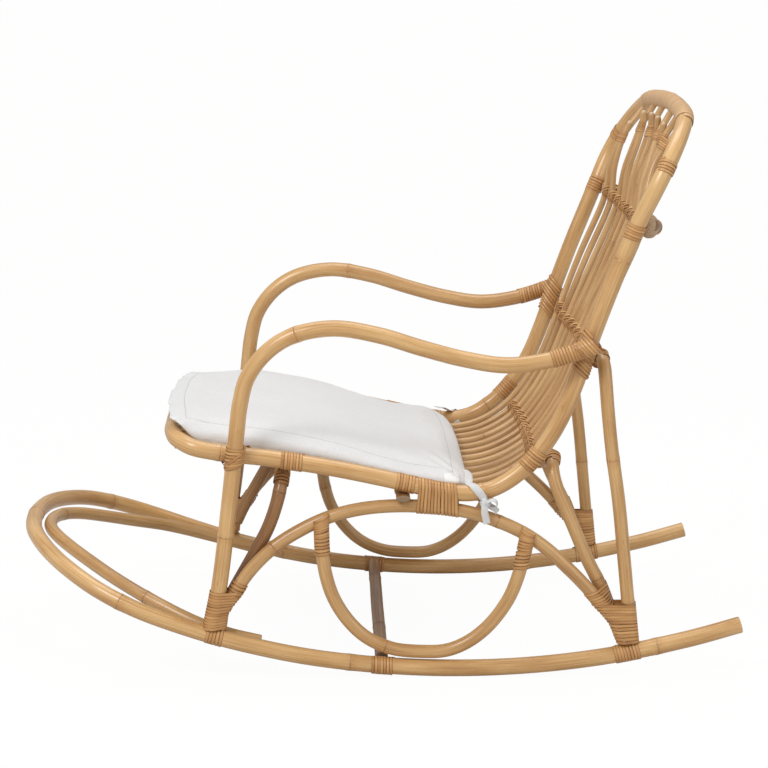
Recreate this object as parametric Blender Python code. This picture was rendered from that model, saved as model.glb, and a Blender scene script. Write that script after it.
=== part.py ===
"""Rattan rocking chair with a tied seat cushion.

Bent rattan poles, twelve seat-and-back spindles, peel lashings at the crossings,
and a loose canvas cushion whose origin is at its rear lower edge, where its ties hold it.

Sizes are millimetres; the meshes are built in metres.  The chair faces -X, +Z is up and
the sitter's left is -Y.  The floor is z = 0.  Pieces are drawn with x = 0 under the centre
of the rocking arc, then moved by SHIFT.
"""
import math

import bpy
import numpy as np

# ------------------------------------------------------------------ driving dimensions
MM = 0.001
SHIFT = np.array((126.935, 0.0, 0.0))   # puts the origin under the middle of the whole chair
AXIS_X, AXIS_Y, AXIS_Z = (1.0, 0.0, 0.0), (0.0, 1.0, 0.0), (0.0, 0.0, 1.0)
MIRROR = np.array((1.0, -1.0, 1.0))     # left side to right side

R_ROCK = 1352.0          # radius of the runner centreline, seen from the side
FLAT_REAR = 25.0         # x where the runners' flat facet ends at the rear
FLAT_FRONT = -50.0       # and at the front
R_POLE = 12.3            # runners, seat and back hoop
R_ARM = 11.8             # arm poles
R_MID = 9.8              # arches, half rings, bows, inner hoop, runner bar
R_BAR = 9.3              # bars under and behind the spindles
R_SPIN = 5.1             # spindles
Y_RUN = 285.0            # runner plane
Y_RAIL = 270.0           # seat rail and back post plane
Y_ARM = 295.5            # arm plane
GAP = 0.4                # air between a pole and what touches it
PEEL = 1.7               # thickness of a wound peel lashing
THIN_PEEL = 1.4          # thickness of the thinner lashings
SEAT_DROP = 5.0          # spindle centres below the rail centre on the seat

POLE_SIDES = 8           # sides of a pole's section
SPIN_SIDES = 6           # sides of a spindle's section
WIDE_SIDES = 12          # sides of a lashing round several poles
SHARP_ANGLE = math.radians(40)

# name: (base colour, roughness)
COLOURS = {
    "pole": ((0.62, 0.42, 0.21), 0.42),
    "pole_dark": ((0.42, 0.24, 0.11), 0.45),
    "spindle": ((0.60, 0.40, 0.20), 0.45),
    "peel": ((0.60, 0.38, 0.17), 0.48),
    "canvas": ((0.82, 0.82, 0.81), 0.90),
    "tape": ((0.84, 0.84, 0.83), 0.88),
    "label": ((0.88, 0.88, 0.88), 0.80),
}


# ------------------------------------------------------------------ vectors and curves
def unit(vector):
    return vector / np.linalg.norm(vector)


def square_to(axis, direction):
    """Unit vector square to a unit direction, as near to axis as possible."""
    return unit(axis - direction * direction.dot(axis))


def carry(axis, directions):
    """Section axes carried along the directions without twist."""
    axes = []
    for direction in directions:
        axis = square_to(np.array(axis, float), direction)
        axes.append(axis)
    return axes


def nearest_index(line, point):
    return int(np.argmin(np.linalg.norm(line - np.array(point, float), axis=1)))


def resample(line, count):
    """The polyline as count points of equal spacing."""
    length = np.r_[0, np.cumsum(np.linalg.norm(np.diff(line, axis=0), axis=1))]
    wanted = np.linspace(0, length[-1], count)
    return np.stack([np.interp(wanted, length, line[:, k]) for k in range(3)], 1)


def blend(first, second, start, end, t):
    """Straight-line blend from first at start to second at end."""
    return (end - t) / (end - start) * first + (t - start) / (end - start) * second


def spline(points, count=400, steps=24):
    """Centripetal Catmull-Rom curve through the points, as count points of equal spacing."""
    points = [np.array(p, float) for p in points]
    if len(points) == 2:
        return resample(np.array(points), count)
    points = [2 * points[0] - points[1]] + points + [2 * points[-1] - points[-2]]
    curve = []
    for i in range(len(points) - 3):
        span = points[i:i + 4]
        knots = [0.0]
        for a, b in zip(span, span[1:]):
            knots.append(knots[-1] + math.sqrt(np.linalg.norm(b - a)))
        for k in range(steps):
            t = knots[1] + (knots[2] - knots[1]) * k / steps
            threes = [blend(span[j], span[j + 1], knots[j], knots[j + 1], t) for j in range(3)]
            twos = [blend(threes[j], threes[j + 1], knots[j], knots[j + 2], t) for j in range(2)]
            curve.append(blend(twos[0], twos[1], knots[1], knots[2], t))
    curve.append(points[-2])
    return resample(np.array(curve), count)


def mirrored(points):
    return [(x, -y, z) for x, y, z in points]


def both(half):
    """A half curve from one side to y = 0 (or from y = 0 to y = 0), continued by its mirror."""
    return half + mirrored(half[-2::-1])


def tangents(line):
    steps = np.gradient(line, axis=0)
    return steps / np.linalg.norm(steps, axis=1)[:, None]


def stations(line, turn=13.0, step=130.0):
    """Fewest points, with turn (degrees) and step (length) setting how far apart neighbours lie."""
    direction = tangents(line)
    cosine = (direction[1:] * direction[:-1]).sum(1)
    angles = np.degrees(np.arccos(np.clip(cosine, -1, 1)))
    lengths = np.linalg.norm(np.diff(line, axis=0), axis=1)
    cost = np.r_[0, np.cumsum(angles / turn + lengths / step)]
    count = max(2, int(math.ceil(cost[-1])) + 1)
    wanted = np.linspace(0, cost[-1], count)
    return np.stack([np.interp(wanted, cost, line[:, k]) for k in range(3)], 1)


# ------------------------------------------------------------------ side profiles
def z_rock(x):
    """Height of the rocking arc's centreline: a pole's radius, very nearly, at FLAT_REAR."""
    flat_angle = math.asin(FLAT_REAR / R_ROCK)
    return (R_POLE + R_ROCK) * math.cos(flat_angle) - math.sqrt(R_ROCK ** 2 - x * x)


def on_rocker(half):
    """Whole hoop from half a table of (x, y, rise above the rocking arc)."""
    return both([(x, y, z_rock(x) + rise) for x, y, rise in half])


# centreline of the seat rail and back post, (x, z)
PROFILE = [
    (-395, 344.5), (-347, 335), (-286, 328), (-194, 313), (-122, 298), (-66, 285),
    (-25, 276.5), (10, 274), (45, 281), (83, 305), (117, 343), (140, 381), (161, 432),
    (181, 492), (207, 564), (237, 640), (252, 676)]
RAIL = spline([(x, 0.0, z) for x, z in PROFILE], 900)
RAIL_TANGENTS = tangents(RAIL)


def rail_index(x):
    """Rail point nearest to x; near the rear corner only its low part counts."""
    penalty = 1000.0 if -60 < x < 60 else 0.0
    return int(np.argmin(np.abs(RAIL[:, 0] - x) + (RAIL[:, 2] > 300) * penalty))


def behind(index, back, y):
    """Point behind (or under) the rail centreline by back."""
    tangent = RAIL_TANGENTS[index]
    return (RAIL[index, 0] + tangent[2] * back, y, RAIL[index, 2] - tangent[0] * back)


def seat_point(x, back=0.0, y=0.0):
    return behind(rail_index(x), back, y)


def back_point(z, back, y):
    lowest = int(np.argmin(RAIL[:, 2]))
    return behind(lowest + int(np.argmin(np.abs(RAIL[lowest:, 2] - z))), back, y)


# Spindle centres behind the posts: (at the posts, added in the middle[, half width]).
LOW_BACK = (7.0, 10.0)
ARM_BACK = (8.0, 15.0)
TOP_BACK = (8.6, 31.0, 272.0)


def set_back(y, at_post, added, half_width=262.0):
    return at_post + added * (1.0 - (y / half_width) ** 2)


# ------------------------------------------------------------------ meshes
def add_material(obj, kind):
    colour, roughness = COLOURS[kind]
    material = bpy.data.materials.new(obj.name + "_mat")
    material.use_nodes = True
    inputs = material.node_tree.nodes["Principled BSDF"].inputs
    inputs["Base Color"].default_value = (*colour, 1.0)
    inputs["Roughness"].default_value = roughness
    inputs["Metallic"].default_value = 0.0
    material.diffuse_color = (*colour, 1.0)
    obj.data.materials.append(material)


def make(name, verts, faces, kind, origin=(0.0, 0.0, 0.0), smooth=True):
    origin = np.array(origin, float)
    mesh = bpy.data.meshes.new(name)
    mesh.from_pydata([tuple((np.array(v) - origin) * MM) for v in verts], [], faces)
    mesh.update()
    if smooth:
        mesh.shade_smooth()
        mesh.set_sharp_from_angle(angle=SHARP_ANGLE)
    obj = bpy.data.objects.new(name, mesh)
    obj.location = tuple((origin + SHIFT) * MM)
    bpy.context.scene.collection.objects.link(obj)
    add_material(obj, kind)


def bridge(first, second, sides, flip=False):
    """Quads between two rings, given by the index of their first vertex."""
    quads = []
    for k in range(sides):
        after = (k + 1) % sides
        a, b, c, d = first + k, first + after, second + after, second + k
        quads.append((b, a, d, c) if flip else (a, b, c, d))
    return quads


def walls(rings, sides, first=0, flip=False):
    """Quads along a run of rings that follow one another from vertex first."""
    quads = []
    for i in range(rings - 1):
        start = first + i * sides
        quads += bridge(start, start + sides, sides, flip)
    return quads


def cap(first, sides, flip=False):
    ring = tuple(range(first, first + sides))
    return ring[::-1] if flip else ring


def section(centre, direction, axis, radius, sides=POLE_SIDES, width=1.0, height=1.0, turn=0.0):
    """Ring of corners round a pole's centre; height is along axis, width square to it."""
    across = np.cross(direction, axis)
    ring = []
    for k in range(sides):
        a = 2 * math.pi * (k + 0.5) / sides + turn
        ring.append(centre + radius * (height * math.cos(a) * axis + width * math.sin(a) * across))
    return ring


LINES = {}     # pole name: (stations, radius to the corners), for the lashings


def tube(name, line, radius, kind, sides=POLE_SIDES, up=AXIS_Z, squash=None, fixed_up=False):
    """Pole along the stations of line; radius is measured to the section's corners.

    squash lists (width, height) factors for the stations.  fixed_up keeps the section
    upright at every station in place of carrying it along from the first one.
    """
    LINES[name] = (line, radius)
    steps = [unit(step) for step in np.diff(line, axis=0)]
    directions = [steps[0]] + [unit(a + b) for a, b in zip(steps, steps[1:])] + [steps[-1]]
    if fixed_up:
        axes = [square_to(np.array(up), direction) for direction in directions]
    else:
        axes = carry(up, directions)
    squash = squash or [(1.0, 1.0)] * len(line)
    verts = []
    for centre, direction, axis, (width, height) in zip(line, directions, axes, squash):
        verts += section(centre, direction, axis, radius, sides, width, height)
    faces = walls(len(line), sides)
    faces += [cap(0, sides, flip=True), cap((len(line) - 1) * sides, sides)]
    make(name, verts, faces, kind)


def pole(name, points, radius, kind, up=AXIS_Z, step=130.0):
    tube(name, stations(spline(points), step=step), radius, kind, up=up)


def pole_pair(name, points, radius):
    """A pole on the left side and its mirror image on the right."""
    pole(name + "_L", points, radius, "pole", up=AXIS_Y)
    pole(name + "_R", mirrored(points), radius, "pole", up=AXIS_Y)


# ------------------------------------------------------------------ runners
# left half, rear end to nose: (x, y, rise above the rocking arc)
RUNNER_HALF = [
    (411, -283, -1), (330, -284, 0), (200, -285, 0), (60, -285, 0), (-80, -285, 0),
    (-220, -286, 0), (-340, -287, 2), (-420, -287, 4), (-480, -282, 5), (-535, -262, 6),
    (-587, -217, 6), (-622, -161, 3), (-645, -98, -1), (-654, -45, -4), (-656, 0, -4)]
# x of the stations along each runner, after its rear end
RUNNER_GRID = [375, 325, 275, 225, 175, 125, 75, FLAT_REAR, FLAT_FRONT,
               -230, -275, -325, -375, -425, -475]
INNER_HOOP_HALF = [
    (-298, -262.0, 3), (-345, -263.5, 4), (-395, -255, 6), (-462, -223, 9), (-518, -179, 8),
    (-560, -140, 7), (-595, -102, 5), (-617, -67, 2), (-629, -32, -1), (-632, 0, -2)]


def build_runner_hoop():
    """Both runners and the nose.  One facet of each runner lies flat on the floor, and the
    long one ahead of it is where the empty chair comes to rest when it is let go."""
    curve = spline(on_rocker(RUNNER_HALF), 3000)
    left_half = curve[:1500]
    left_side = left_half[left_half[:, 1] < -250]
    left = [left_half[0]]
    for x in RUNNER_GRID:
        _, y, z = left_side[int(np.argmin(np.abs(left_side[:, 0] - x)))]
        if abs(x) < 80:
            y = -Y_RUN
        if x in (FLAT_REAR, FLAT_FRONT):
            z = R_POLE
        elif -240 < x < 330:
            z = z_rock(x)
        left.append(np.array((x, y, z)))
    start = nearest_index(curve, left[-1])
    end = nearest_index(curve, left[-1] * MIRROR)
    nose = stations(curve[start:end + 1], turn=12.0, step=90.0)[1:-1]
    nose = [0.5 * (a + b * MIRROR) for a, b in zip(nose, nose[::-1])]
    line = np.array(left + nose + [p * MIRROR for p in left[::-1]])
    # R_POLE is the distance to the flats here, so that a flat rests on the floor
    tube("runner_hoop", line, R_POLE / math.cos(math.pi / POLE_SIDES), "pole", fixed_up=True)


def build_inner_front_hoop():
    pole("inner_front_hoop", on_rocker(INNER_HOOP_HALF), R_MID, "pole")


def build_runner_bar():
    x, half_length, z = -119, 269.2, 22
    ends = [(x, -half_length, z), (x, half_length, z)]
    pole("runner_bar", ends, R_MID, "pole_dark", step=300.0)


# ------------------------------------------------------------------ seat and back hoop
FRONT_RAIL_HALF = [(-433, 0, 357), (-433, -150, 357), (-431, -212, 356), (-421, -250, 352.5)]
# the bend from the post into the head rail, (|y|, z)
HEAD_BEND = [(274, 676), (281, 700), (284, 722), (279, 747), (264, 770), (237, 793),
             (194, 812), (98, 821), (0, 824)]
HOOP_NORMAL = (-0.926, 0.0, 0.378)     # direction of the section axis at the head


def head_x(z):
    """x of the head of the back: a slope with a slight backward curve."""
    rise = z - 672
    return 250.0 + 0.408 * rise + 20.0 * (rise / 154.0) ** 2


def seat_back_hoop():
    """From the middle of the head down the left side, round the front and up the right."""
    half = FRONT_RAIL_HALF + [(x, -Y_RAIL, z) for x, z in PROFILE[:-1]]
    half += [(head_x(z), -y, z) for y, z in HEAD_BEND]
    return both(half[::-1])


HOOP_CURVE = spline(seat_back_hoop(), 2400)


def build_seat_back_hoop():
    """Endless pole: its two ends meet at the middle of the head."""
    sides = POLE_SIDES
    line = stations(HOOP_CURVE)[:-1]
    count = len(line)
    directions = [unit(unit(after - here) + unit(here - before)) for before, here, after
                  in zip(np.roll(line, 1, axis=0), line, np.roll(line, -1, axis=0))]
    axes = carry(HOOP_NORMAL, directions)
    # spread the leftover twist evenly, less whole steps of the section
    start = directions[0]
    last = square_to(axes[-1], start)
    twist = math.atan2(np.cross(last, axes[0]).dot(start), last.dot(axes[0]))
    side_angle = 2 * math.pi / sides
    twist = (twist + side_angle / 2) % side_angle - side_angle / 2
    verts = []
    for i in range(count):
        verts += section(line[i], directions[i], axes[i], R_POLE, turn=twist * i / count)
    faces = walls(count, sides)
    # the last ring joins the first with the whole number of steps it turned by
    last_ring = (count - 1) * sides
    corner = verts[last_ring] - line[-1]
    angle = math.atan2(corner.dot(np.cross(start, axes[0])), corner.dot(axes[0]))
    shift = int(round(angle / (2 * math.pi) * sides - 0.5)) % sides
    for k in range(sides):
        faces.append((last_ring + k, last_ring + (k + 1) % sides,
                      (k + 1 + shift) % sides, (k + shift) % sides))
    LINES["seat_back_hoop"] = (np.vstack([line, line[:1]]), R_POLE)
    make("seat_back_hoop", verts, faces, "pole")


# ------------------------------------------------------------------ side poles, left side
# front leg and arm in one, from the foot to the back post
ARM_LEG = [
    (-368.5, -289.5, 82), (-357, -291, 140), (-338, -294.5, 290), (-330, -Y_ARM, 360),
    (-323, -Y_ARM, 414), (-312, -296, 452), (-285, -297, 488), (-248, -298, 512),
    (-190, -299, 523), (-125, -299, 513), (-60, -298, 493), (0, -297, 477),
    (60, -296, 468), (115, -Y_ARM, 474), (155, -Y_ARM, 485), (190, -Y_ARM, 497)]
# arch between runner and seat rail, front foot to rear foot
SIDE_ARCH = [
    (-347, -285, 75.4), (-341.5, -284.5, 108), (-327, -283, 141), (-304, -281, 171),
    (-272, -278, 200), (-236, -275, 222), (-200, -272, 238), (-165, -270.5, 248),
    (-122, -270, 254), (-69, -270, 254.5), (-9, -270, 248.5), (40, -271, 235.5),
    (89, -273, 214), (124, -276, 190), (150, -279, 166), (176, -282, 140),
    (200, -284, 112), (214, -285, 84), (226.5, -285, 53.5)]
# ring open at the top, under the arch, front end to rear end
HALF_RING = [
    (-207, -281, 212), (-206.5, -281.5, 195), (-202, -282, 158), (-190, -283, 120),
    (-168, -284, 85), (-140, -285, 59), (-104, -285, 43), (-60, -285, 38),
    (-25, -285, 39.5), (5, -285, 51), (37, -285, 76), (67, -284, 117),
    (83, -282.5, 158), (89, -282, 187)]

# ------------------------------------------------------------------ bows across the chair
# left halves, from the foot up
FRONT_BOW_HALF = [
    (-351, -263, 98), (-338, -262.5, 125), (-305, -259.5, 184), (-286, -257.5, 220),
    (-273, -253, 256), (-266, -241, 286), (-264, -213, 300), (-264, -150, 303), (-264, 0, 303)]
REAR_LEG_HALF = [
    (249.5, -284.5, 50.5), (246.5, -284.3, 78), (241, -284, 130), (236, -282, 178),
    (227, -277, 263), (217, -272, 335), (210, -269, 400), (207, -267, 435),
    (205, -261, 458), (203, -244, 469)]
REAR_BRACE_HALF = [
    (225, -264.5, 78), (216, -264.5, 100), (204, -265.5, 131), (184, -267, 171),
    (161, -267, 225), (145, -266, 262), (135, -263, 288), (132, -252, 307), (135, -229, 319)]


def build_front_bow():
    pole("front_bow", both(FRONT_BOW_HALF), R_MID, "pole_dark", up=AXIS_X)


def build_rear_bow(name, foot, across_y, z, spindle_back, clearance):
    """Bow whose upper part crosses behind the spindles at height z."""
    reach = R_SPIN + R_MID + clearance
    across = [back_point(z, set_back(y, *spindle_back) + reach, y) for y in across_y]
    pole(name, both(foot + across), R_MID, "pole_dark", up=AXIS_X)


# ------------------------------------------------------------------ bars along the spindles
SEAT_BAR_X = -88
SEAT_BAR_END_Z = 269.6
SEAT_BAR_BEND = 234      # |y| where the bar begins to bend towards its ends
UPPER_BAR_HALF = [(-294, 667), (-272, 665), (-235, 661), (-150, 656), (-60, 652), (0, 651)]


def build_under_seat_bar():
    """Bar under the spindles, shaved flat where it passes between the rail and the arch."""
    clearance = 1.2
    middle_z = seat_point(SEAT_BAR_X)[2] - SEAT_DROP - R_SPIN - R_BAR - clearance
    line = np.array(both([
        (SEAT_BAR_X, -289, SEAT_BAR_END_Z), (SEAT_BAR_X, -254, SEAT_BAR_END_Z),
        (SEAT_BAR_X, -SEAT_BAR_BEND, middle_z), (SEAT_BAR_X, 0, middle_z)]), float)
    squash = []
    for y in line[:, 1]:
        flattened = min(1.0, max(0.0, (abs(y) - SEAT_BAR_BEND) / 20.0))
        squash.append((1.0 + 0.18 * flattened, 1.0 - 0.42 * flattened))
    tube("under_seat_bar", line, R_BAR, "pole_dark", squash=squash)


def build_upper_back_bar():
    reach = R_SPIN + R_BAR + 0.6
    half = [back_point(z, set_back(y, *TOP_BACK) + reach, y) for y, z in UPPER_BAR_HALF]
    pole("upper_back_bar", both(half), R_BAR, "pole_dark", step=60.0)


# ------------------------------------------------------------------ spindles
N_SPIN = 12
SPIN_PITCH = 41.0        # spacing across the seat
SPIN_FRONT = [(-429.0, 338.6), (-405.0, 337.0)]               # (x, z) under the front rail
SPIN_SEAT_X = (-347, -286, -194, -122, -66, -25, 10)          # at SEAT_DROP under the rail
SPIN_CORNER = (45, (SEAT_DROP, 1.5))                          # (x, set-back)
SPIN_BACK = [(300, (6.0, 6.0)), (326, LOW_BACK), (390, (7.5, 12.5)),
             (466, ARM_BACK), (560, (8.0, 23.0)), (655, TOP_BACK)]   # (z, set-back)
PAIRS = [(282, 195, 750), (302, 118, 774), (306, 41, 776)]    # (x, |y|, z) where pairs meet
PAIR_HALF = 6.1          # half the spacing of a pair's spindles where they meet


def spindle(k):
    """Centreline of spindle k, counted from the left, from the front rail to the head."""
    y = (k - (N_SPIN - 1) / 2.0) * SPIN_PITCH
    side = -1.0 if y < 0 else 1.0
    rank = k if y < 0 else N_SPIN - 1 - k          # 0 next to the post
    pair, place = divmod(rank, 2)
    is_outer = place == 0
    points = [(x, y, z) for x, z in SPIN_FRONT]
    points += [seat_point(x, SEAT_DROP, y) for x in SPIN_SEAT_X]
    corner_x, corner_back = SPIN_CORNER
    points.append(seat_point(corner_x, set_back(y, *corner_back), y))
    points += [back_point(z, set_back(y, *depth), y) for z, depth in SPIN_BACK]

    meet_x, meet_y, meet_z = PAIRS[pair]
    meet_y = side * (meet_y + (PAIR_HALF if is_outer else -PAIR_HALF))
    approach = np.array((meet_x - 5.0, meet_y + (y - meet_y) * 0.22, meet_z))
    points.append(np.array(points[-1]) * 0.42 + approach * 0.58)
    points.append((meet_x, meet_y, meet_z))

    head = HOOP_CURVE[HOOP_CURVE[:, 2] > 760]
    above = head[int(np.argmin(np.abs(head[:, 1] - meet_y)))]
    if is_outer:          # runs up to the head rail
        direction = above - np.array((meet_x, meet_y, meet_z))
        direction[1] *= 0.3
        end = above - unit(direction) * (R_POLE + PEEL + 3.0)
        end[1] = meet_y + (above[1] - meet_y) * 0.2
        points.append(end)
    else:                 # stops free, in front of the head rail and below it
        points.append((above[0] - 24.0, meet_y, above[2] - 23.0))

    line = spline(points, 500)
    # the front end stops where it would touch the front rail
    clear = R_POLE + R_SPIN + GAP + 0.3
    start = next(i for i, point in enumerate(line)
                 if np.min(np.linalg.norm(HOOP_CURVE - point, axis=1)) > clear)
    return line[start:]


def build_spindles():
    for k in range(N_SPIN):
        line = stations(spindle(k), step=140.0)
        tube("spindle_%02d" % (k + 1), line, R_SPIN, "spindle", SPIN_SIDES)


# ------------------------------------------------------------------ lashing geometry
def cut(line, point, normal):
    """Crossing of the line, carried on past its ends, with a plane: the one nearest to point.
    Returns the crossing and the line's direction there."""
    overrun = 60.0
    line = np.vstack([line[0] + unit(line[0] - line[1]) * overrun, line,
                      line[-1] + unit(line[-1] - line[-2]) * overrun])
    height = (line - point) @ normal
    best = None
    for i in range(len(line) - 1):
        if height[i] * height[i + 1] <= 0 and height[i] != height[i + 1]:
            step = line[i + 1] - line[i]
            crossing = line[i] + step * height[i] / (height[i] - height[i + 1])
            distance = np.linalg.norm(crossing - point)
            if best is None or distance < best[0]:
                best = (distance, crossing, unit(step))
    return best[1:]


def half_extent(direction, radius, normal, outward):
    """How far a pole's elliptical section in a plane extends from its centre, along outward."""
    along_normal = direction.dot(normal)
    slant = direction - normal * along_normal
    if np.linalg.norm(slant) <= 1e-6:
        return radius
    slant = unit(slant)
    return math.hypot(radius / abs(along_normal) * outward.dot(slant),
                      radius * outward.dot(np.cross(normal, slant)))


def lashing(name, members, planes, sides=10, down=(0.0, 0.0, -1.0), thick=PEEL, gap=GAP):
    """Peel wound round one or more poles, lofted through planes given as (point, normal).

    In each plane the section is a polygon outside the poles' own sections there.
    down is where the first side faces.
    """
    inner, outer = [], []
    angles = [2 * math.pi * k / sides for k in range(sides + 1)]
    for point, normal in planes:
        point = np.array(point, float)
        normal = unit(np.array(normal, float))
        u = square_to(np.array(down), normal)
        v = np.cross(normal, u)
        cuts = [(*cut(LINES[m][0], point, normal), LINES[m][1]) for m in members]
        for ring, added in ((inner, gap), (outer, gap + thick)):
            reach = []
            for angle in angles:
                outward = u * math.cos(angle) + v * math.sin(angle)
                reach.append(max(
                    (centre - point).dot(outward)
                    + half_extent(direction, radius + added, normal, outward)
                    for centre, direction, radius in cuts))
            # each corner is where two neighbouring sides meet
            for a, b, reach_a, reach_b in zip(angles, angles[1:], reach, reach[1:]):
                det = math.sin(b - a)
                along_u = (reach_a * math.sin(b) - reach_b * math.sin(a)) / det
                along_v = (reach_b * math.cos(a) - reach_a * math.cos(b)) / det
                ring.append(point + u * along_u + v * along_v)
    count = len(planes)
    inside = count * sides
    last = inside - sides
    faces = walls(count, sides) + walls(count, sides, first=inside, flip=True)
    faces += bridge(0, inside, sides, flip=True) + bridge(last, inside + last, sides)
    make(name, outer + inner, faces, "peel")


def lash_pair(name, members, planes, **options):
    """The lashing on the left side and its mirror image on the right."""
    lashing(name + "_L", members, planes, **options)
    right_members = [member.replace("_L", "_R") for member in members]
    right_planes = [(np.array(p) * MIRROR, np.array(n) * MIRROR) for p, n in planes]
    lashing(name + "_R", right_members, right_planes, **options)


def pole_at(name, near, samples):
    """Point and direction of a pole nearest to near."""
    line = resample(LINES[name][0], samples)
    i = nearest_index(line, near)
    return line[i], tangents(line)[max(1, min(i, len(line) - 2))]


def end_planes(middle, normal, span):
    return [(middle - normal * span / 2, normal), (middle + normal * span / 2, normal)]


def along(name, near, span):
    """Two planes square to a pole, span apart."""
    return end_planes(*pole_at(name, near, 6000), span)


def crossing_planes(name_a, name_b, near, span=13.0):
    """Planes for a band laid diagonally over two crossing poles."""
    centre_a, direction_a = pole_at(name_a, near, 4000)
    centre_b, direction_b = pole_at(name_b, near, 4000)
    if direction_a.dot(direction_b) < 0:
        direction_b = -direction_b
    return end_planes((centre_a + centre_b) / 2, unit(direction_a + direction_b), span)


# ------------------------------------------------------------------ lashings
# bands round one pole: (name, pole, place, length, thickness)
BANDS = [
    ("half_ring_front_lashing", "half_ring_L", (-206, -281, 199), 20, PEEL),
    ("half_ring_rear_lashing", "half_ring_L", (86, -282, 172), 20, PEEL),
    ("front_bow_lashing", "seat_back_hoop", (-264, -Y_RAIL, 325), 22, PEEL),
    ("under_bar_lashing", "seat_back_hoop", (SEAT_BAR_X, -Y_RAIL, 290), 22, THIN_PEEL),
    ("runner_bar_lashing", "runner_hoop", (-119, -Y_RUN, 18), 24, THIN_PEEL),
    ("brace_post_lashing", "seat_back_hoop", (111, -Y_RAIL, 336), 18, PEEL),
    ("post_ring", "seat_back_hoop", (285, -278, 750), 9, PEEL),
]
# bands over two crossing poles: (name, pole, pole, place)
CROSSINGS = [
    ("leg_rail_lashing", "arm_leg_L", "seat_back_hoop", (-333, -283, 334)),
    ("arm_post_lashing", "arm_leg_L", "seat_back_hoop", (182, -283, 492)),
    ("upper_bar_lashing", "seat_back_hoop", "upper_back_bar", (252, -272, 662)),
]


def build_base_lashings():
    """Upright windings that gather the feet of the legs, arches and bows."""
    lash_pair("front_base_lashing", ["arm_leg_L", "side_arch_L", "front_bow"],
              [((-352, -280, z), AXIS_Z) for z in (93, 118, 140)],
              sides=WIDE_SIDES, down=AXIS_X)
    lash_pair("rear_base_lashing", ["side_arch_L", "rear_leg_bow", "rear_brace_bow"],
              [((236, -281, z), AXIS_Z) for z in (66, 82, 98, 114, 130)],
              sides=WIDE_SIDES, down=AXIS_X, gap=0.8)


def build_rail_arch_lashings():
    """Windings that hold the top of each arch to the seat rail."""
    planes = [((x, -Y_RAIL, 268), (1.0, 0.0, -0.06)) for x in (-51, -32, -13, 7)]
    lash_pair("rail_arch_lashing", ["seat_back_hoop", "side_arch_L"], planes, sides=WIDE_SIDES)


def build_small_lashings():
    for name, member, near, span, thick in BANDS:
        lash_pair(name, [member], along(member, near, span), thick=thick)
    for name, first, second, near in CROSSINGS:
        lash_pair(name, [first, second], crossing_planes(first, second, near), sides=WIDE_SIDES)


def build_head_rail_wrap():
    """Broad peel round the head of the back, with a ring at each of the pole's stations."""
    hoop = LINES["seat_back_hoop"][0][:-1]
    head = [i for i in range(len(hoop)) if hoop[i, 2] > 770 and abs(hoop[i, 1]) < 212]
    planes = []
    for i in sorted(head, key=lambda i: -hoop[i, 1]):
        before = unit(hoop[i] - hoop[i - 1])
        after = unit(hoop[(i + 1) % len(hoop)] - hoop[i])
        planes.append((hoop[i], before + after))
    lashing("head_rail_wrap", ["seat_back_hoop"], planes)


# ------------------------------------------------------------------ cushion
CUSHION_ORIGIN = (12.0, 0.0, 275.4)     # rear lower edge
CUSHION_HALF = 252.0                    # half width
# top of the cushion, (x, z)
CUSHION_TOP = [
    (-441, 378), (-434, 382), (-418, 384.5), (-395, 381), (-370, 377), (-345, 374), (-300, 368),
    (-242, 357.5), (-192, 346.5), (-110, 324.5), (-60, 312), (-12, 304.5), (3, 297), (12, 290)]
# one ring each, (x, half width)
CUSHION_RINGS = [
    (-437, 60), (-433, 118), (-426, 168), (-416, 208), (-405, 226), (-390, 239), (-370, 247),
    (-345, 251), (-310, 252), (-270, 252), (-230, 252), (-195, 252), (-160, 252), (-128, 252),
    (-97, 252), (-70, 252), (-48, 251.5), (-25, 250), (0, 241), (12, 226)]
# a ring's outline, (share of the half width, share of the thickness)
CUSHION_SECTION = [
    (-0.93, 0.0), (-1.0, 0.3), (-1.0, 0.6), (-0.93, 0.82), (-0.6, 0.95), (0.0, 1.0),
    (0.6, 0.95), (0.93, 0.82), (1.0, 0.6), (1.0, 0.3), (0.93, 0.0)]


def cushion_underside(x):
    """Height just above the spindles, rising in a smooth step over the front rail."""
    if x > -345.0:
        low = seat_point(x)[2] - SEAT_DROP + R_SPIN + 0.7
    else:
        low = 335.6 + (-345.0 - x) * 0.19
    if x >= -385.0:
        return low
    t = min(1.0, (-385.0 - x) / 31.0)
    t = t * t * (3 - 2 * t)
    return low * (1 - t) + 371.0 * t


def build_cushion():
    """Soft pad: rounded sides, a bowed front edge over the front rail, a thin rear edge."""
    top_x, top_z = np.array(CUSHION_TOP, float).T
    verts = []
    for x, half in CUSHION_RINGS:
        low = cushion_underside(x)
        thickness = np.interp(x, top_x, top_z) - low
        verts += [(x, half * across, low + thickness * up) for across, up in CUSHION_SECTION]
    sides = len(CUSHION_SECTION)
    count = len(CUSHION_RINGS)
    faces = [(a, d, c, b) for a, b, c, d in walls(count, sides)]
    faces += [cap(0, sides), cap((count - 1) * sides, sides, flip=True)]
    make("seat_cushion", verts, faces, "canvas", origin=CUSHION_ORIGIN)


def build_label():
    """Small blank label on the left side, near the rear corner."""
    verts = []
    for y in (-(CUSHION_HALF + 0.5), -(CUSHION_HALF + 1.5)):
        for x in (-38.0, -14.0):
            rail_z = seat_point(x)[2]
            verts += [(x, y, rail_z + 7.0), (x, y, rail_z + 19.0)]
    faces = [(0, 1, 3, 2), (4, 6, 7, 5), (0, 4, 5, 1), (2, 3, 7, 6), (0, 2, 6, 4), (1, 5, 7, 3)]
    make("cushion_label", verts, faces, "label", origin=CUSHION_ORIGIN, smooth=False)


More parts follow.
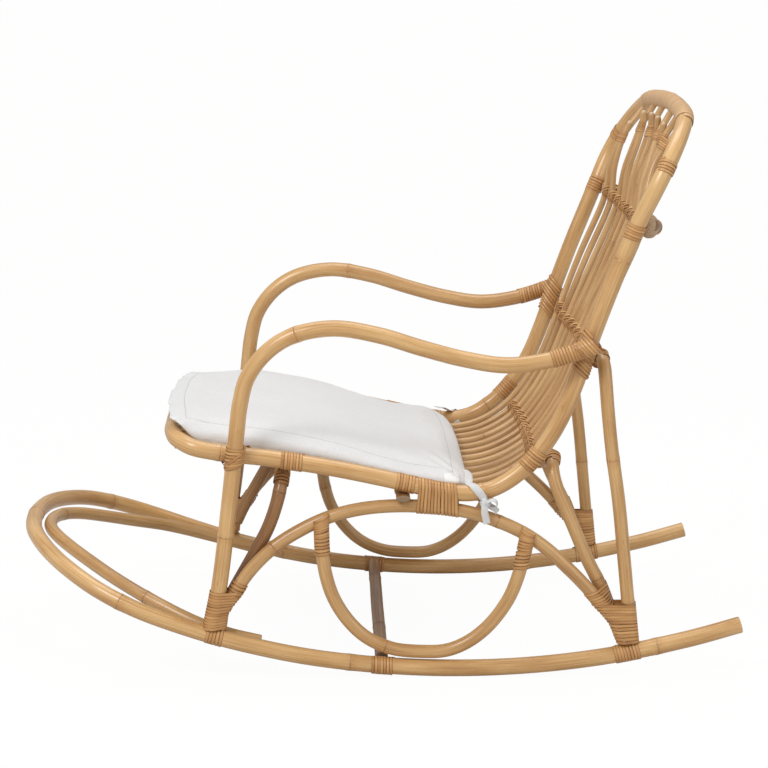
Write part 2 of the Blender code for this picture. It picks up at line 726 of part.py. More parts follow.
# ------------------------------------------------------------------ ties
TIE_X = 29
TIE_HALF_WIDTH = 5.5
TIE_HALF_THICK = 0.7
TIE_STEPS = 20           # steps round the rail
TIE_START, TIE_SWEEP = -50.0, -335.0     # degrees; 0 is outward, +90 is up
TIE_CLEARANCE = 1.3      # tape centre outside the rail
TIE_LIFT = 2.6           # added by the end of the turn, from LIFT_FROM of the way round
LIFT_FROM = 0.55
TAIL_STEPS = 3


def build_tie(name, side):
    """Tape wound almost once round the seat rail, its tail hanging down outside."""
    tangent = RAIL_TANGENTS[rail_index(TIE_X)]
    up = np.array((-tangent[2], 0.0, tangent[0]))
    out = np.array((0.0, side, 0.0))
    centre = np.array(seat_point(TIE_X, y=side * Y_RAIL))
    path, normals = [], []
    for i in range(TIE_STEPS + 1):
        share = i / TIE_STEPS
        angle = math.radians(TIE_START + TIE_SWEEP * share)
        lift = TIE_LIFT * max(0.0, (share - LIFT_FROM) / (1 - LIFT_FROM))
        normal = out * math.cos(angle) + up * math.sin(angle)
        path.append(centre + normal * (R_POLE + TIE_CLEARANCE + lift))
        normals.append(normal)
    end = path[-1]
    for k in range(1, TAIL_STEPS + 1):
        path.append(end + np.array((0.4, side * 0.4, -9.0)) * k)
        normals.append(out)
    verts = []
    for point, normal in zip(path, normals):
        for across, through in ((1, 1), (-1, 1), (-1, -1), (1, -1)):
            verts.append(point + tangent * TIE_HALF_WIDTH * across
                         + normal * TIE_HALF_THICK * through)
    is_right = side > 0
    faces = walls(len(path), 4, flip=is_right)
    faces += [cap(0, 4, flip=not is_right), cap((len(path) - 1) * 4, 4, flip=is_right)]
    make(name, verts, faces, "tape", smooth=False)


# ------------------------------------------------------------------ build
def clear_scene():
    for obj in list(bpy.data.objects):
        bpy.data.objects.remove(obj, do_unlink=True)


clear_scene()

build_runner_hoop()
build_inner_front_hoop()
build_seat_back_hoop()
pole_pair("arm_leg", ARM_LEG, R_ARM)
pole_pair("side_arch", SIDE_ARCH, R_MID)
pole_pair("half_ring", HALF_RING, R_MID)
build_front_bow()
build_rear_bow("rear_leg_bow", REAR_LEG_HALF, across_y=(-200, -100, 0), z=466,
               spindle_back=ARM_BACK, clearance=2.4)
build_rear_bow("rear_brace_bow", REAR_BRACE_HALF, across_y=(-190, -95, 0), z=322,
               spindle_back=LOW_BACK, clearance=1.0)
build_under_seat_bar()
build_upper_back_bar()
build_runner_bar()
build_spindles()

build_base_lashings()
build_rail_arch_lashings()
build_small_lashings()
build_head_rail_wrap()

build_cushion()
build_label()
build_tie("tie_L", -1.0)
build_tie("tie_R", 1.0)
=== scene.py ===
"""Looks of a rattan rocking chair: round bent poles with nodes, wound peel lashings and a
canvas cushion with seams, label and knotted ties.

The chair faces -x, +z is up and the sitter's left is -y, so names ending in L lie at -y.
Curves and sizes are in mm, measured along x from the middle of the runners' flat. Finished
pieces are moved by SHIFT, which puts the origin under the middle of the whole chair.
"""
import math
from collections import namedtuple

import bpy
import bmesh
import numpy as np
from mathutils import Matrix, Vector, noise
from mathutils.bvhtree import BVHTree


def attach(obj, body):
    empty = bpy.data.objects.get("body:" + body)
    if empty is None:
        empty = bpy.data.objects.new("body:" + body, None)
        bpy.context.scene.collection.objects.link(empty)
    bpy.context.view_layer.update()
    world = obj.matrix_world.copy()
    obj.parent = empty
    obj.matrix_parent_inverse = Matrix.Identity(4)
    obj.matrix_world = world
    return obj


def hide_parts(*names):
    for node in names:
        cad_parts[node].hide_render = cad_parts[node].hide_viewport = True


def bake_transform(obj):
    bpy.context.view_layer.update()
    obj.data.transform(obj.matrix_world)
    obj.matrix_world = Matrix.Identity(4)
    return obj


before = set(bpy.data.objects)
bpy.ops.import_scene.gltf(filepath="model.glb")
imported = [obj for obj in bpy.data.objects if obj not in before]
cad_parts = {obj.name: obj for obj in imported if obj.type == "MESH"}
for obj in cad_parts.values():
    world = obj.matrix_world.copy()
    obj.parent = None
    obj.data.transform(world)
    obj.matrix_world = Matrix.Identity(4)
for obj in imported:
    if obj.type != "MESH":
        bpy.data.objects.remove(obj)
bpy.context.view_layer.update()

# ------------------------------------------------------------------ dimensions (mm)
MM = 0.001               # metres in a millimetre
SHIFT = 0.126935         # metres along x
R_ROCK = 1352.0          # radius of the runner centreline, seen from the side
HALF_FLAT = 25.0         # half length of the facet the chair rests on
R_POLE = 12.3            # runners, seat and back hoop
R_ARM = 11.8             # arm poles
R_MID = 9.8              # arches, half rings, bows, inner hoop, runner bar
R_BAR = 9.3              # bars under and behind the spindles
R_SPIN = 5.1             # spindles
Y_RAIL = 270.0           # seat rail and back post plane
Y_ARM = 295.5            # arm plane
N_SPIN = 12              # spindles
SPIN_PITCH = 41.0        # spindle spacing across the seat
RAIL_AIR = 0.7           # air between a spindle's front end and the front rail
PEEL = 1.7               # thickness of a wound peel lashing
SEAT_DROP = 5.0          # spindle centres below the rail centre on the seat
BACK_HALF = 262.0        # half width over which the back is hollow
HEAD_HALF = 272.0        # the same at the upper bar
UNDER_BAR_X = -88.0      # the bar under the seat
CUSHION_HALF = 252.0     # half width of the cushion
CUSHION_MID = -205.0     # x of the cushion's middle
SIDES = (("L", -1.0), ("R", 1.0))
MIRROR = np.array((1.0, -1.0, 1.0))

# side profile of the seat rail and back post, (x, z)
PROFILE = [
    (-395, 344.5), (-347, 335), (-286, 328), (-194, 313), (-122, 298), (-66, 285),
    (-25, 276.5), (10, 274), (45, 281), (83, 305), (117, 343), (140, 381), (161, 432),
    (181, 492), (207, 564), (237, 640), (252, 676)]


# ------------------------------------------------------------------ curves
def arc(line):
    """Length along the line at each of its points."""
    return np.r_[0, np.cumsum(np.linalg.norm(np.diff(line, axis=0), axis=1))]


def lerp_rows(s, d, rows):
    """Rows known at lengths d, interpolated at lengths s."""
    return np.stack([np.interp(s, d, rows[:, k]) for k in range(rows.shape[1])], 1)


def resample(line, n):
    d = arc(line)
    return lerp_rows(np.linspace(0, d[-1], n), d, line)


def spline(points, n):
    """Centripetal Catmull-Rom curve through the points, as n points of equal spacing."""
    p = [np.array(q, float) for q in points]
    if len(p) == 2:
        return resample(np.array(p), n)
    p = [2 * p[0] - p[1]] + p + [2 * p[-1] - p[-2]]
    out = []
    for i in range(1, len(p) - 2):
        p0, p1, p2, p3 = p[i - 1:i + 3]
        t0 = 0.0
        t1 = t0 + math.sqrt(np.linalg.norm(p1 - p0))
        t2 = t1 + math.sqrt(np.linalg.norm(p2 - p1))
        t3 = t2 + math.sqrt(np.linalg.norm(p3 - p2))
        for k in range(24):
            t = t1 + (t2 - t1) * k / 24
            a1 = (t1 - t) / (t1 - t0) * p0 + (t - t0) / (t1 - t0) * p1
            a2 = (t2 - t) / (t2 - t1) * p1 + (t - t1) / (t2 - t1) * p2
            a3 = (t3 - t) / (t3 - t2) * p2 + (t - t2) / (t3 - t2) * p3
            b1 = (t2 - t) / (t2 - t0) * a1 + (t - t0) / (t2 - t0) * a2
            b2 = (t3 - t) / (t3 - t1) * a2 + (t - t1) / (t3 - t1) * a3
            out.append((t2 - t) / (t2 - t1) * b1 + (t - t1) / (t2 - t1) * b2)
    out.append(p[-2])
    return resample(np.array(out), n)


def fine(points):
    """The curve through the points, at 1 mm spacing."""
    n = int(arc(spline(points, 600))[-1]) + 1
    return resample(spline(points, n), n)


def both(half):
    """A half curve from the left side to y = 0, continued by its mirror image."""
    return list(half) + [(x, -y, z) for x, y, z in half[-2::-1]]


def tangents(line):
    t = np.gradient(line, axis=0)
    return t / np.linalg.norm(t, axis=1)[:, None]


def squared(normals, t):
    """Normals turned square to the tangents, with unit length."""
    normals = normals - t * (normals * t).sum(1)[:, None]
    return normals / np.linalg.norm(normals, axis=1)[:, None]


def ease(v, a, b):
    """Smooth step from 0 at a to 1 at b."""
    t = np.clip((v - a) / (b - a), 0.0, 1.0)
    return t * t * (3 - 2 * t)


# ------------------------------------------------------------------ seat and back shape
SIDE = spline([(x, 0.0, z) for x, z in PROFILE], 900)
SIDE_TANGENT = tangents(SIDE)
LOWEST = int(np.argmin(SIDE[:, 2]))


def on_profile(x=None, z=None, back=0.0, y=0.0):
    """Point behind (or under) the rail centreline by back, at the given x or height."""
    if x is not None:
        i = int(np.argmin(np.abs(SIDE[:, 0] - x)))
    else:
        i = int(LOWEST + np.argmin(np.abs(SIDE[LOWEST:, 2] - z)))
    t = SIDE_TANGENT[i]
    return (SIDE[i, 0] + t[2] * back, y, SIDE[i, 2] - t[0] * back)


def z_rock(x):
    """Height of the runner centreline."""
    a = math.asin(HALF_FLAT / R_ROCK)
    return (R_POLE + R_ROCK) * math.cos(a) - math.sqrt(R_ROCK ** 2 - x * x)


def bow_depth(y, half=BACK_HALF):
    """1 in the middle of the back, 0 at the posts."""
    return 1.0 - (y / half) ** 2


def back_low(y):
    """How far the spindles lie behind the posts, at the brace bow."""
    return 7.0 + 10.0 * bow_depth(y)


def back_arm(y):
    """The same at the rear leg bow."""
    return 8.0 + 15.0 * bow_depth(y)


def back_top(y):
    """The same at the upper bar."""
    return 8.6 + 31.0 * bow_depth(y, HEAD_HALF)


def flatter(line, weight):
    """The hollow of the back made a little shallower at the upper bar."""
    depth = weight * bow_depth(line[:, 1], HEAD_HALF)
    return line + depth[:, None] * np.array((-6.6, 0.0, 3.0))


# ------------------------------------------------------------------ centrelines
# Symmetrical poles are listed for the left half only, others for the left side.
def over_rockers(rows):
    """Rows of (x, y, height above the runner centreline) as points."""
    return [(x, y, z_rock(x) + dz) for x, y, dz in rows]


def runner_hoop():
    return both(over_rockers([
        (411, -283, -1), (330, -284, 0), (200, -285, 0), (60, -285, 0), (-80, -285, 0),
        (-220, -286, 0), (-340, -287, 2), (-420, -287, 4), (-480, -282, 5), (-535, -262, 6),
        (-587, -217, 6), (-622, -161, 3), (-645, -98, -1), (-654, -45, -4), (-656, 0, -4)]))


def inner_front_hoop():
    return both(over_rockers([
        (-298, -262.0, 3), (-345, -263.5, 4), (-395, -255, 6), (-462, -223, 9), (-518, -179, 8),
        (-560, -140, 7), (-595, -102, 5), (-617, -67, 2), (-629, -32, -1), (-632, 0, -2)]))


def head_x(z):
    return 250.0 + 0.408 * (z - 672) + 20.0 * ((z - 672) / 154.0) ** 2


def seat_back_hoop():
    """Starts and ends at the middle of the head."""
    half = [(-433, 0, 357), (-433, -150, 357), (-431, -212, 356), (-421, -250, 352.5)]
    half += [(x, -Y_RAIL, z) for x, z in PROFILE[:-1]]
    for y, z in [(274, 676), (281, 700), (284, 722), (279, 747), (264, 770), (237, 793),
                 (194, 812), (98, 821)]:
        half.append((head_x(z), -y, z))
    top = (head_x(824), 0, 824)
    return [top] + both(half[::-1]) + [top]


ARM_LEG = [
    (-368.5, -289.5, 82), (-357, -291, 140), (-338, -294.5, 290), (-330, -Y_ARM, 360),
    (-323, -Y_ARM, 414), (-312, -296, 452), (-285, -297, 488), (-248, -298, 512),
    (-190, -299, 523), (-125, -299, 513), (-60, -298, 493), (0, -297, 477), (60, -296, 468),
    (115, -Y_ARM, 474), (155, -Y_ARM, 485), (190, -Y_ARM, 497)]

SIDE_ARCH = [
    (-347, -285, 75.4), (-341.5, -284.5, 108), (-327, -283, 141), (-304, -281, 171),
    (-272, -278, 200), (-236, -275, 222), (-200, -272, 238), (-165, -270.5, 248),
    (-122, -270, 254), (-69, -270, 254.5), (-9, -270, 248.5), (40, -271, 235.5),
    (89, -273, 214), (124, -276, 190), (150, -279, 166), (176, -282, 140), (200, -284, 112),
    (214, -285, 84), (226.5, -285, 53.5)]

HALF_RING = [
    (-207, -281, 212), (-206.5, -281.5, 195), (-202, -282, 158), (-190, -283, 120),
    (-168, -284, 85), (-140, -285, 59), (-104, -285, 43), (-60, -285, 38), (-25, -285, 39.5),
    (5, -285, 51), (37, -285, 76), (67, -284, 117), (83, -282.5, 158), (89, -282, 187)]

FRONT_BOW = both([
    (-351, -263, 98), (-338, -262.5, 125), (-305, -259.5, 184), (-286, -257.5, 220),
    (-273, -253, 256), (-266, -241, 286), (-264, -213, 300), (-264, -150, 303), (-264, 0, 303)])

RUNNER_BAR = [(-119, -269.2, 22), (-119, 269.2, 22)]


def rear_leg_bow():
    def behind(y):
        return on_profile(z=466, back=back_arm(y) + R_SPIN + R_MID + 2.4, y=y)
    return both([
        (249.5, -284.5, 50.5), (246.5, -284.3, 78), (241, -284, 130), (236, -282, 178),
        (227, -277, 263), (217, -272, 335), (210, -269, 400), (207, -267, 435),
        (205, -261, 458), (203, -244, 469), behind(-200), behind(-100), behind(0)])


def rear_brace_bow():
    def behind(y):
        return on_profile(z=322, back=back_low(y) + R_SPIN + R_MID + 1.0, y=y)
    return both([
        (225, -264.5, 78), (216, -264.5, 100), (204, -265.5, 131), (184, -267, 171),
        (161, -267, 225), (145, -266, 262), (135, -263, 288), (132, -252, 307),
        (135, -229, 319), behind(-190), behind(-95), behind(0)])


def under_seat_bar():
    x = UNDER_BAR_X
    z = on_profile(x=x)[2] - SEAT_DROP - R_SPIN - R_BAR - 1.2
    return both([(x, -289, 269.6), (x, -254, 269.6), (x, -234, z), (x, 0, z)])


def upper_back_bar():
    rows = [(-294, 667), (-272, 665), (-235, 661), (-150, 656), (-60, 652), (0, 651)]
    return both([on_profile(z=z, back=back_top(y) + R_SPIN + R_BAR + 0.6, y=y)
                 for y, z in rows])


# ------------------------------------------------------------------ finished curves
Curve = namedtuple("Curve", "line radius tangent")
CURVES = {}


def add_curve(name, line, radius):
    CURVES[name] = Curve(line, radius, tangents(line))


def side_arch_line():
    """The arch's feet run in beside the legs, inside the lashings."""
    line = fine(SIDE_ARCH)
    x, z = line[:, 0].copy(), line[:, 2]
    line[:, 0] -= np.where(x < -100, 11.0 * ease(z, 140.0, 96.0), 0.0)
    line[:, 0] += np.where(x > 100, 11.0 * ease(z, 122.0, 80.0), 0.0)
    return line


def hoop_line():
    """The front rail is set back at its ends, and its right bend is drawn in further."""
    line = fine(seat_back_hoop())
    x, y, z = line.T
    bend = ease(y, 50.0, 250.0) * ease(-x, 336.0, 415.0) * (z < 450)
    rail = ease(-x, 375.0, 425.0) * (z < 450)
    return line + np.stack([27.0 * bend + 6.0 * rail, -14.0 * bend, -7.0 * bend - rail], 1)


def upper_bar_line():
    """The upper bar, raised behind the spindles, with its ends drawn forward."""
    line = flatter(fine(upper_back_bar()), 1.0)
    y = line[:, 1]
    end = ease(np.abs(y), 235.0, 282.0)
    middle = np.cos(y / 290.0 * math.pi / 2)
    line = line + np.stack([-7.0 * end + 4.6 + 1.6 * middle, 0 * y,
                            3.5 * end + 8.8 + 3.4 * middle], 1)
    return line[np.abs(y) < 264.0]


add_curve("runner_hoop", fine(runner_hoop()), R_POLE)
add_curve("inner_front_hoop", fine(inner_front_hoop()), R_MID)
add_curve("seat_back_hoop", hoop_line(), R_POLE)
for tag, mirror in (("L", 1), ("R", MIRROR)):
    add_curve("arm_leg_" + tag, fine(ARM_LEG)[:-9] * mirror, R_ARM)
    add_curve("side_arch_" + tag, side_arch_line() * mirror, R_MID)
    add_curve("half_ring_" + tag, fine(HALF_RING) * mirror, R_MID)
add_curve("front_bow", fine(FRONT_BOW), R_MID)
add_curve("rear_leg_bow", fine(rear_leg_bow()), R_MID)
add_curve("rear_brace_bow", fine(rear_brace_bow()), R_MID)
add_curve("under_seat_bar", fine(under_seat_bar()), R_BAR)
add_curve("upper_back_bar", upper_bar_line(), R_BAR)
add_curve("runner_bar", fine(RUNNER_BAR), R_MID)

# ------------------------------------------------------------------ spindles
# pairs of spindles meet under the head of the back: (x, |y|, z), from the post inwards
PAIRS = [(282, 195, 750), (302, 118, 774), (306, 41, 776)]
PAIR_HALF = 6.1          # half the spacing of the two spindles of a pair
HOOP = spline(seat_back_hoop(), 2400)      # the hoop before its front bends are drawn in
HEAD = HOOP[HOOP[:, 2] > 760]


def front_rail():
    """The front rail's centreline, ordered from left to right."""
    line = CURVES["seat_back_hoop"].line
    rail = line[(line[:, 0] < -345.0) & (line[:, 2] < 450.0)]
    return rail[np.argsort(rail[:, 1])]


FRONT_RAIL = front_rail()


def spindle_name(k):
    return "spindle_%02d" % (k + 1)


def spindle_course(k, y, rank):
    """Spindle k from the front rail over seat and back to the head."""
    side = -1.0 if y < 0 else 1.0
    pair, inner = divmod(rank, 2)
    b = bow_depth(y)
    points = [(-429.0, y, 338.6), (-405.0, y, 337.0)]
    points += [on_profile(x=x, back=SEAT_DROP, y=y)
               for x in (-347, -286, -194, -122, -66, -25, 10)]
    points.append(on_profile(x=45, back=SEAT_DROP + 1.5 * b, y=y))
    for z, back in [(300, 6.0 + 6.0 * b), (326, back_low(y)), (390, 7.5 + 12.5 * b),
                    (466, back_arm(y)), (560, 8.0 + 23.0 * b), (655, back_top(y))]:
        points.append(on_profile(z=z, back=back, y=y))

    meet_x, meet_y, meet_z = PAIRS[pair]
    meet_y = side * (meet_y + (-PAIR_HALF if inner else PAIR_HALF))
    near_pair = np.array((meet_x - 5.0, meet_y + (y - meet_y) * 0.22, meet_z))
    points.append(np.array(points[-1]) * 0.42 + near_pair * 0.58)
    meet = np.array((meet_x, meet_y, meet_z))
    points.append(meet)

    above = HEAD[int(np.argmin(np.abs(HEAD[:, 1] - meet_y)))]
    if inner:        # stops as a free rounded tip just in front of the head rail
        points.append((above[0] - 24.0, meet_y, above[2] - 23.0))
    else:            # runs up to the head rail
        way = above - meet
        way[1] *= 0.3
        way /= np.linalg.norm(way)
        end = above - way * (R_POLE + PEEL + 3.0)
        end[1] = meet_y + (above[1] - meet_y) * 0.2
        points.append(end)

    # the front end stops where it would touch the front rail
    line = spline(points, 500)
    clear = R_POLE + R_SPIN + RAIL_AIR
    start = next(i for i in range(len(line))
                 if np.min(np.linalg.norm(HOOP - line[i], axis=1)) > clear)
    return line[start:]


def spindle_line(k):
    """Finished centreline of spindle k, counted from the left."""
    y = (k - (N_SPIN - 1) / 2.0) * SPIN_PITCH
    rank = min(k, N_SPIN - 1 - k)          # 0 beside the post
    line = spindle_course(k, y, rank)
    # cut under the middle of the front rail
    stop = np.interp(line[0, 1], FRONT_RAIL[:, 1], FRONT_RAIL[:, 0]) - 1.0
    if line[0, 0] < stop:
        cut = int(np.argmax(line[:, 0] > stop))
        u = (stop - line[cut - 1, 0]) / (line[cut, 0] - line[cut - 1, 0])
        line = np.vstack([line[cut - 1] * (1 - u) + line[cut] * u, line[cut:]])
    if rank % 2 == 0:        # up to the head rail's wrap
        way = line[-1] - line[-8]
        way /= np.linalg.norm(way)
        line = np.vstack([line, line[-1] + way * 3.0, line[-1] + way * 6.5])
    elif rank == 1:          # the free tip beside each post ends lower
        d = arc(line)
        line = line[d < d[-1] - 17.0]
    z = line[:, 2]
    line = flatter(line, ease(z, 545.0, 635.0) * ease(z, 765.0, 685.0))
    return resample(line, int(arc(line)[-1]) + 1)


for k in range(N_SPIN):
    add_curve(spindle_name(k), spindle_line(k), R_SPIN)


# ------------------------------------------------------------------ mesh helpers
def seed_of(name):
    return sum((i + 1) * ord(c) for i, c in enumerate(name)) % 100003


def smooth_noise(rs, length, wave, amount, s):
    """Smooth seeded wander at lengths s, with the given wavelength."""
    n = max(4, int(length / wave) + 2)
    t = np.interp(s, np.linspace(0, length, n), rs.uniform(-1, 1, n))
    w = max(3, int(len(s) * wave / max(length, 1) * 0.6))
    kernel = np.hanning(w + 2)[1:-1]
    kernel /= kernel.sum()
    padded = np.r_[np.full(w, t[0]), t, np.full(w, t[-1])]
    return amount * np.convolve(padded, kernel, "same")[w:-w]


def new_mesh(name, verts, faces, attributes=None, sharp=None):
    """Smooth-shaded object from points in mm; edges over sharp degrees stay sharp."""
    mesh = bpy.data.meshes.new(name)
    mesh.from_pydata((np.asarray(verts, float) * MM).tolist(), [], faces)
    mesh.update()
    for key, values in (attributes or {}).items():
        attribute = mesh.attributes.new(key, "FLOAT", "POINT")
        attribute.data.foreach_set("value", np.asarray(values, np.float32))
    mesh.shade_smooth()
    if sharp:
        mesh.set_sharp_from_angle(angle=math.radians(sharp))
    obj = bpy.data.objects.new(name, mesh)
    bpy.context.scene.collection.objects.link(obj)
    return obj


def face_outward(obj):
    bm = bmesh.new()
    bm.from_mesh(obj.data)
    bmesh.ops.recalc_face_normals(bm, faces=bm.faces)
    bm.to_mesh(obj.data)
    bm.free()
    return obj


def ring_faces(rings, sides, closed=False):
    """Faces of a tube, joined into a loop or capped at both ends."""
    faces = []
    for i in range(rings if closed else rings - 1):
        j = (i + 1) % rings
        for k in range(sides):
            k2 = (k + 1) % sides
            faces.append((i * sides + k, i * sides + k2, j * sides + k2, j * sides + k))
    if not closed:
        faces.append(tuple(range(sides))[::-1])
        faces.append(tuple(range((rings - 1) * sides, rings * sides)))
    return faces


def sweep(centre, across, up, x, z):
    """Section (x, z), the same everywhere or one row per station, set along a line."""
    x, z = np.atleast_2d(x), np.atleast_2d(z)
    points = centre[:, None] + across[:, None] * x[..., None] + up[:, None] * z[..., None]
    return points.reshape(-1, 3)


def place(obj):
    obj.data.transform(Matrix.Translation((SHIFT, 0.0, 0.0)))


def dress(obj, material, body="frame", pieces=()):
    obj.data.materials.append(material)
    place(obj)
    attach(obj, body)
    if pieces:
        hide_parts(*pieces)


# ------------------------------------------------------------------ poles
# rings that close a pole's end: share of the radius, depth below the end, cut surface
SAW_CUT = np.array([(0.985, 1.1, 0.15), (0.93, 0.35, 0.7), (0.86, 0.05, 1.0),
                    (0.5, 0.0, 1.0), (0.02, 0.0, 1.0)])
DOME = np.array([(0.97, 0.0, 0.1), (0.9, -1.4, 0.35), (0.74, -2.8, 0.6), (0.5, -3.9, 0.8),
                 (0.25, -4.5, 0.9), (0.02, -4.7, 0.9)])
END_RING = 2.2           # how far the last full ring sits before the cut
# stations round a node, where its swelling and scar need close rings
NODE_STATIONS = np.array([-9, -6, -4, -2.8, -2.0, -1.3, -0.8, -0.4, 0, 0.4, 0.8, 1.4, 2.2,
                          3.2, 5, 8])


def carry(line, t):
    """Section axis carried along a line without twist."""
    axes = np.zeros_like(line)
    v = np.array((0.02, 0.1, 1.0))
    for i in range(len(line)):
        v = v - t[i] * v.dot(t[i])
        v /= np.linalg.norm(v)
        axes[i] = v
    return axes


def loop_twist(axes, t):
    """Angle between the carried axis and its start after one turn of a closed loop."""
    first, last = axes[0], axes[-1]
    last = last - t * last.dot(t)
    last /= np.linalg.norm(last)
    return math.atan2(np.cross(last, first).dot(t), last.dot(first))


def rattan(name, line, radius, sides, closed=False, node_gap=(260, 460), wander=0.35,
           swell=0.55, tone=0.0, step=5.0, dome=False):
    """A round bent pole: swollen nodes with a scar line, uneven thickness, closed ends."""
    rs = np.random.RandomState(seed_of(name))
    d = arc(line)
    length = d[-1]
    nodes, x = [], rs.uniform(40, node_gap[0])
    while x < length - 25:
        nodes.append(x)
        x += rs.uniform(*node_gap)
    s = list(np.arange(0, length, step)) + [length]
    for x in nodes:
        s += list(x + NODE_STATIONS)
    s = np.array(sorted(v for v in s if 0 <= v <= length))
    s = s[np.r_[True, np.diff(s) > 0.15]]
    if closed:
        s = s[s < length - 2.0]

    line_t = tangents(line)
    axes = carry(line, line_t)
    centre, t = lerp_rows(s, d, line), lerp_rows(s, d, line_t)
    u = squared(lerp_rows(s, d, axes), t)
    v = np.cross(t, u)
    wander *= 0.6 if closed else 1.0
    fade = np.minimum(1, np.minimum(s, length - s) / 60.0)
    centre = centre + u * (smooth_noise(rs, length, 210, wander, s) * fade)[:, None]
    centre += v * (smooth_noise(rs, length, 170, wander, s) * fade)[:, None]

    r = radius * (1 + smooth_noise(rs, length, 120, 0.012, s) * fade)
    scar = np.zeros(len(s))
    band = np.zeros(len(s))
    for x in nodes:
        q = s - x
        r = r + swell * np.exp(-(q / 6.5) ** 2) * (1 + 0.25 * np.sign(q))
        r = r - 0.42 * np.exp(-((q - 0.2) / 0.75) ** 2)
        scar = np.maximum(scar, np.exp(-((q - 0.2) / 1.0) ** 2))
        band = np.maximum(band, np.exp(-((q + 2.5) / 7.0) ** 2))
    # a tone for each length between nodes, and an offset that sets each pole's grain apart
    tones = 0.5 + 0.5 * (rs.uniform(0, 1, len(nodes) + 2) - 0.5)
    between = tones[np.searchsorted(nodes, s, side="right")]
    offset = rs.uniform(0, 50)

    if closed:
        start = end = np.zeros((0, 3))
        twist = loop_twist(axes, line_t[0]) * s / length
    else:
        start, end = SAW_CUT[::-1], DOME if dome else SAW_CUT
        twist = np.zeros(len(s))
        centre[0] += t[0] * END_RING
        centre[-1] -= t[-1] * END_RING
    extra = (len(start), len(end))
    centre = np.concatenate([line[0] + t[0] * start[:, 1:2], centre,
                             line[-1] - t[-1] * end[:, 1:2]])
    r = np.concatenate([r[0] * start[:, 0], r, r[-1] * end[:, 0]])[:, None]
    u = np.pad(u, (extra, (0, 0)), mode="edge")
    v = np.pad(v, (extra, (0, 0)), mode="edge")
    angle = 2 * np.pi * np.arange(sides) / sides
    turned = angle + np.pad(twist, extra)[:, None]
    verts = sweep(centre, u, v, r * np.cos(turned), r * np.sin(turned))

    grain_r = np.maximum(r, 0.3)
    along = np.pad(s, extra, constant_values=(0, length)) + offset * 400
    cut = np.concatenate([start[:, 2], np.zeros(len(s)), end[:, 2]])
    attributes = {
        "p_s": np.repeat(along, sides),
        "p_x": (grain_r * np.cos(angle) + offset * 37).ravel(),
        "p_y": (grain_r * np.sin(angle) + offset * 11).ravel(),
        "p_ring": np.repeat(np.pad(scar, extra), sides),
        "p_band": np.repeat(np.pad(band, extra), sides),
        "p_tone": np.repeat(np.pad(between, extra, mode="edge"), sides),
        "p_end": np.repeat(cut, sides),
        # painted shade: tone darkens the whole pole for the shade it lies in
        "p_painted_shade": np.full(len(verts), tone)}
    faces = ring_faces(len(centre), sides, closed)
    return new_mesh(name, verts, faces, attributes, None if closed else 38)


# ------------------------------------------------------------------ wound peel
ALONG_X = (1.0, 0.0, 0.0)
Strip = namedtuple("Strip", "path outward width thick")
# crowned section of a peel strip: across and height, as shares of width and thickness
PEEL_SECTION = np.array([(-0.5, 0.0), (-0.5, 0.42), (-0.42, 0.8), (-0.2, 0.98), (0.2, 0.98),
                         (0.42, 0.8), (0.5, 0.42), (0.5, 0.0)])


def cut_pole(name, point, normal):
    """Where a plane cuts a pole near the point: (centre, tangent, radius), or None."""
    reach = 70.0
    line, radius, tangent = CURVES[name]
    d = (line - point) @ normal
    crossings = np.where(d[:-1] * d[1:] <= 0)[0]
    if len(crossings) == 0:
        # carried on straight beyond its nearer end
        i = 0
        if np.linalg.norm(line[0] - point) >= np.linalg.norm(line[-1] - point):
            i = len(line) - 1
        t = tangent[i]
        if abs(t.dot(normal)) < 0.3:
            return None
        c = line[i] - t * d[i] / t.dot(normal)
        if np.linalg.norm(c - line[i]) < 40 and np.linalg.norm(c - point) < reach:
            return c, t, radius
        return None
    distance = np.linalg.norm(line[crossings] - point, axis=1)
    if distance.min() > reach:
        return None
    i = crossings[int(np.argmin(distance))]
    f = d[i] / (d[i] - d[i + 1]) if d[i] != d[i + 1] else 0.0
    return line[i] + (line[i + 1] - line[i]) * f, tangent[i], radius


def hull_point(cuts, normal, way, lift):
    """Furthest point in direction way of the poles' elliptical sections in one plane."""
    furthest, where = -1e9, None
    for c, t, r in cuts:
        r = r + lift
        slant = max(abs(t.dot(normal)), 0.25)
        long_axis = t - normal * t.dot(normal)
        size = np.linalg.norm(long_axis)
        if size > 1e-4:
            long_axis = long_axis / size
            short_axis = np.cross(normal, long_axis)
            a = r / slant
            de, df = way.dot(long_axis), way.dot(short_axis)
            h = math.hypot(a * de, r * df)
            p = c + (a * a * de * long_axis + r * r * df * short_axis) / h
        else:
            h, p = r, c + way * r
        if c.dot(way) + h > furthest:
            furthest, where = c.dot(way) + h, p
    return where


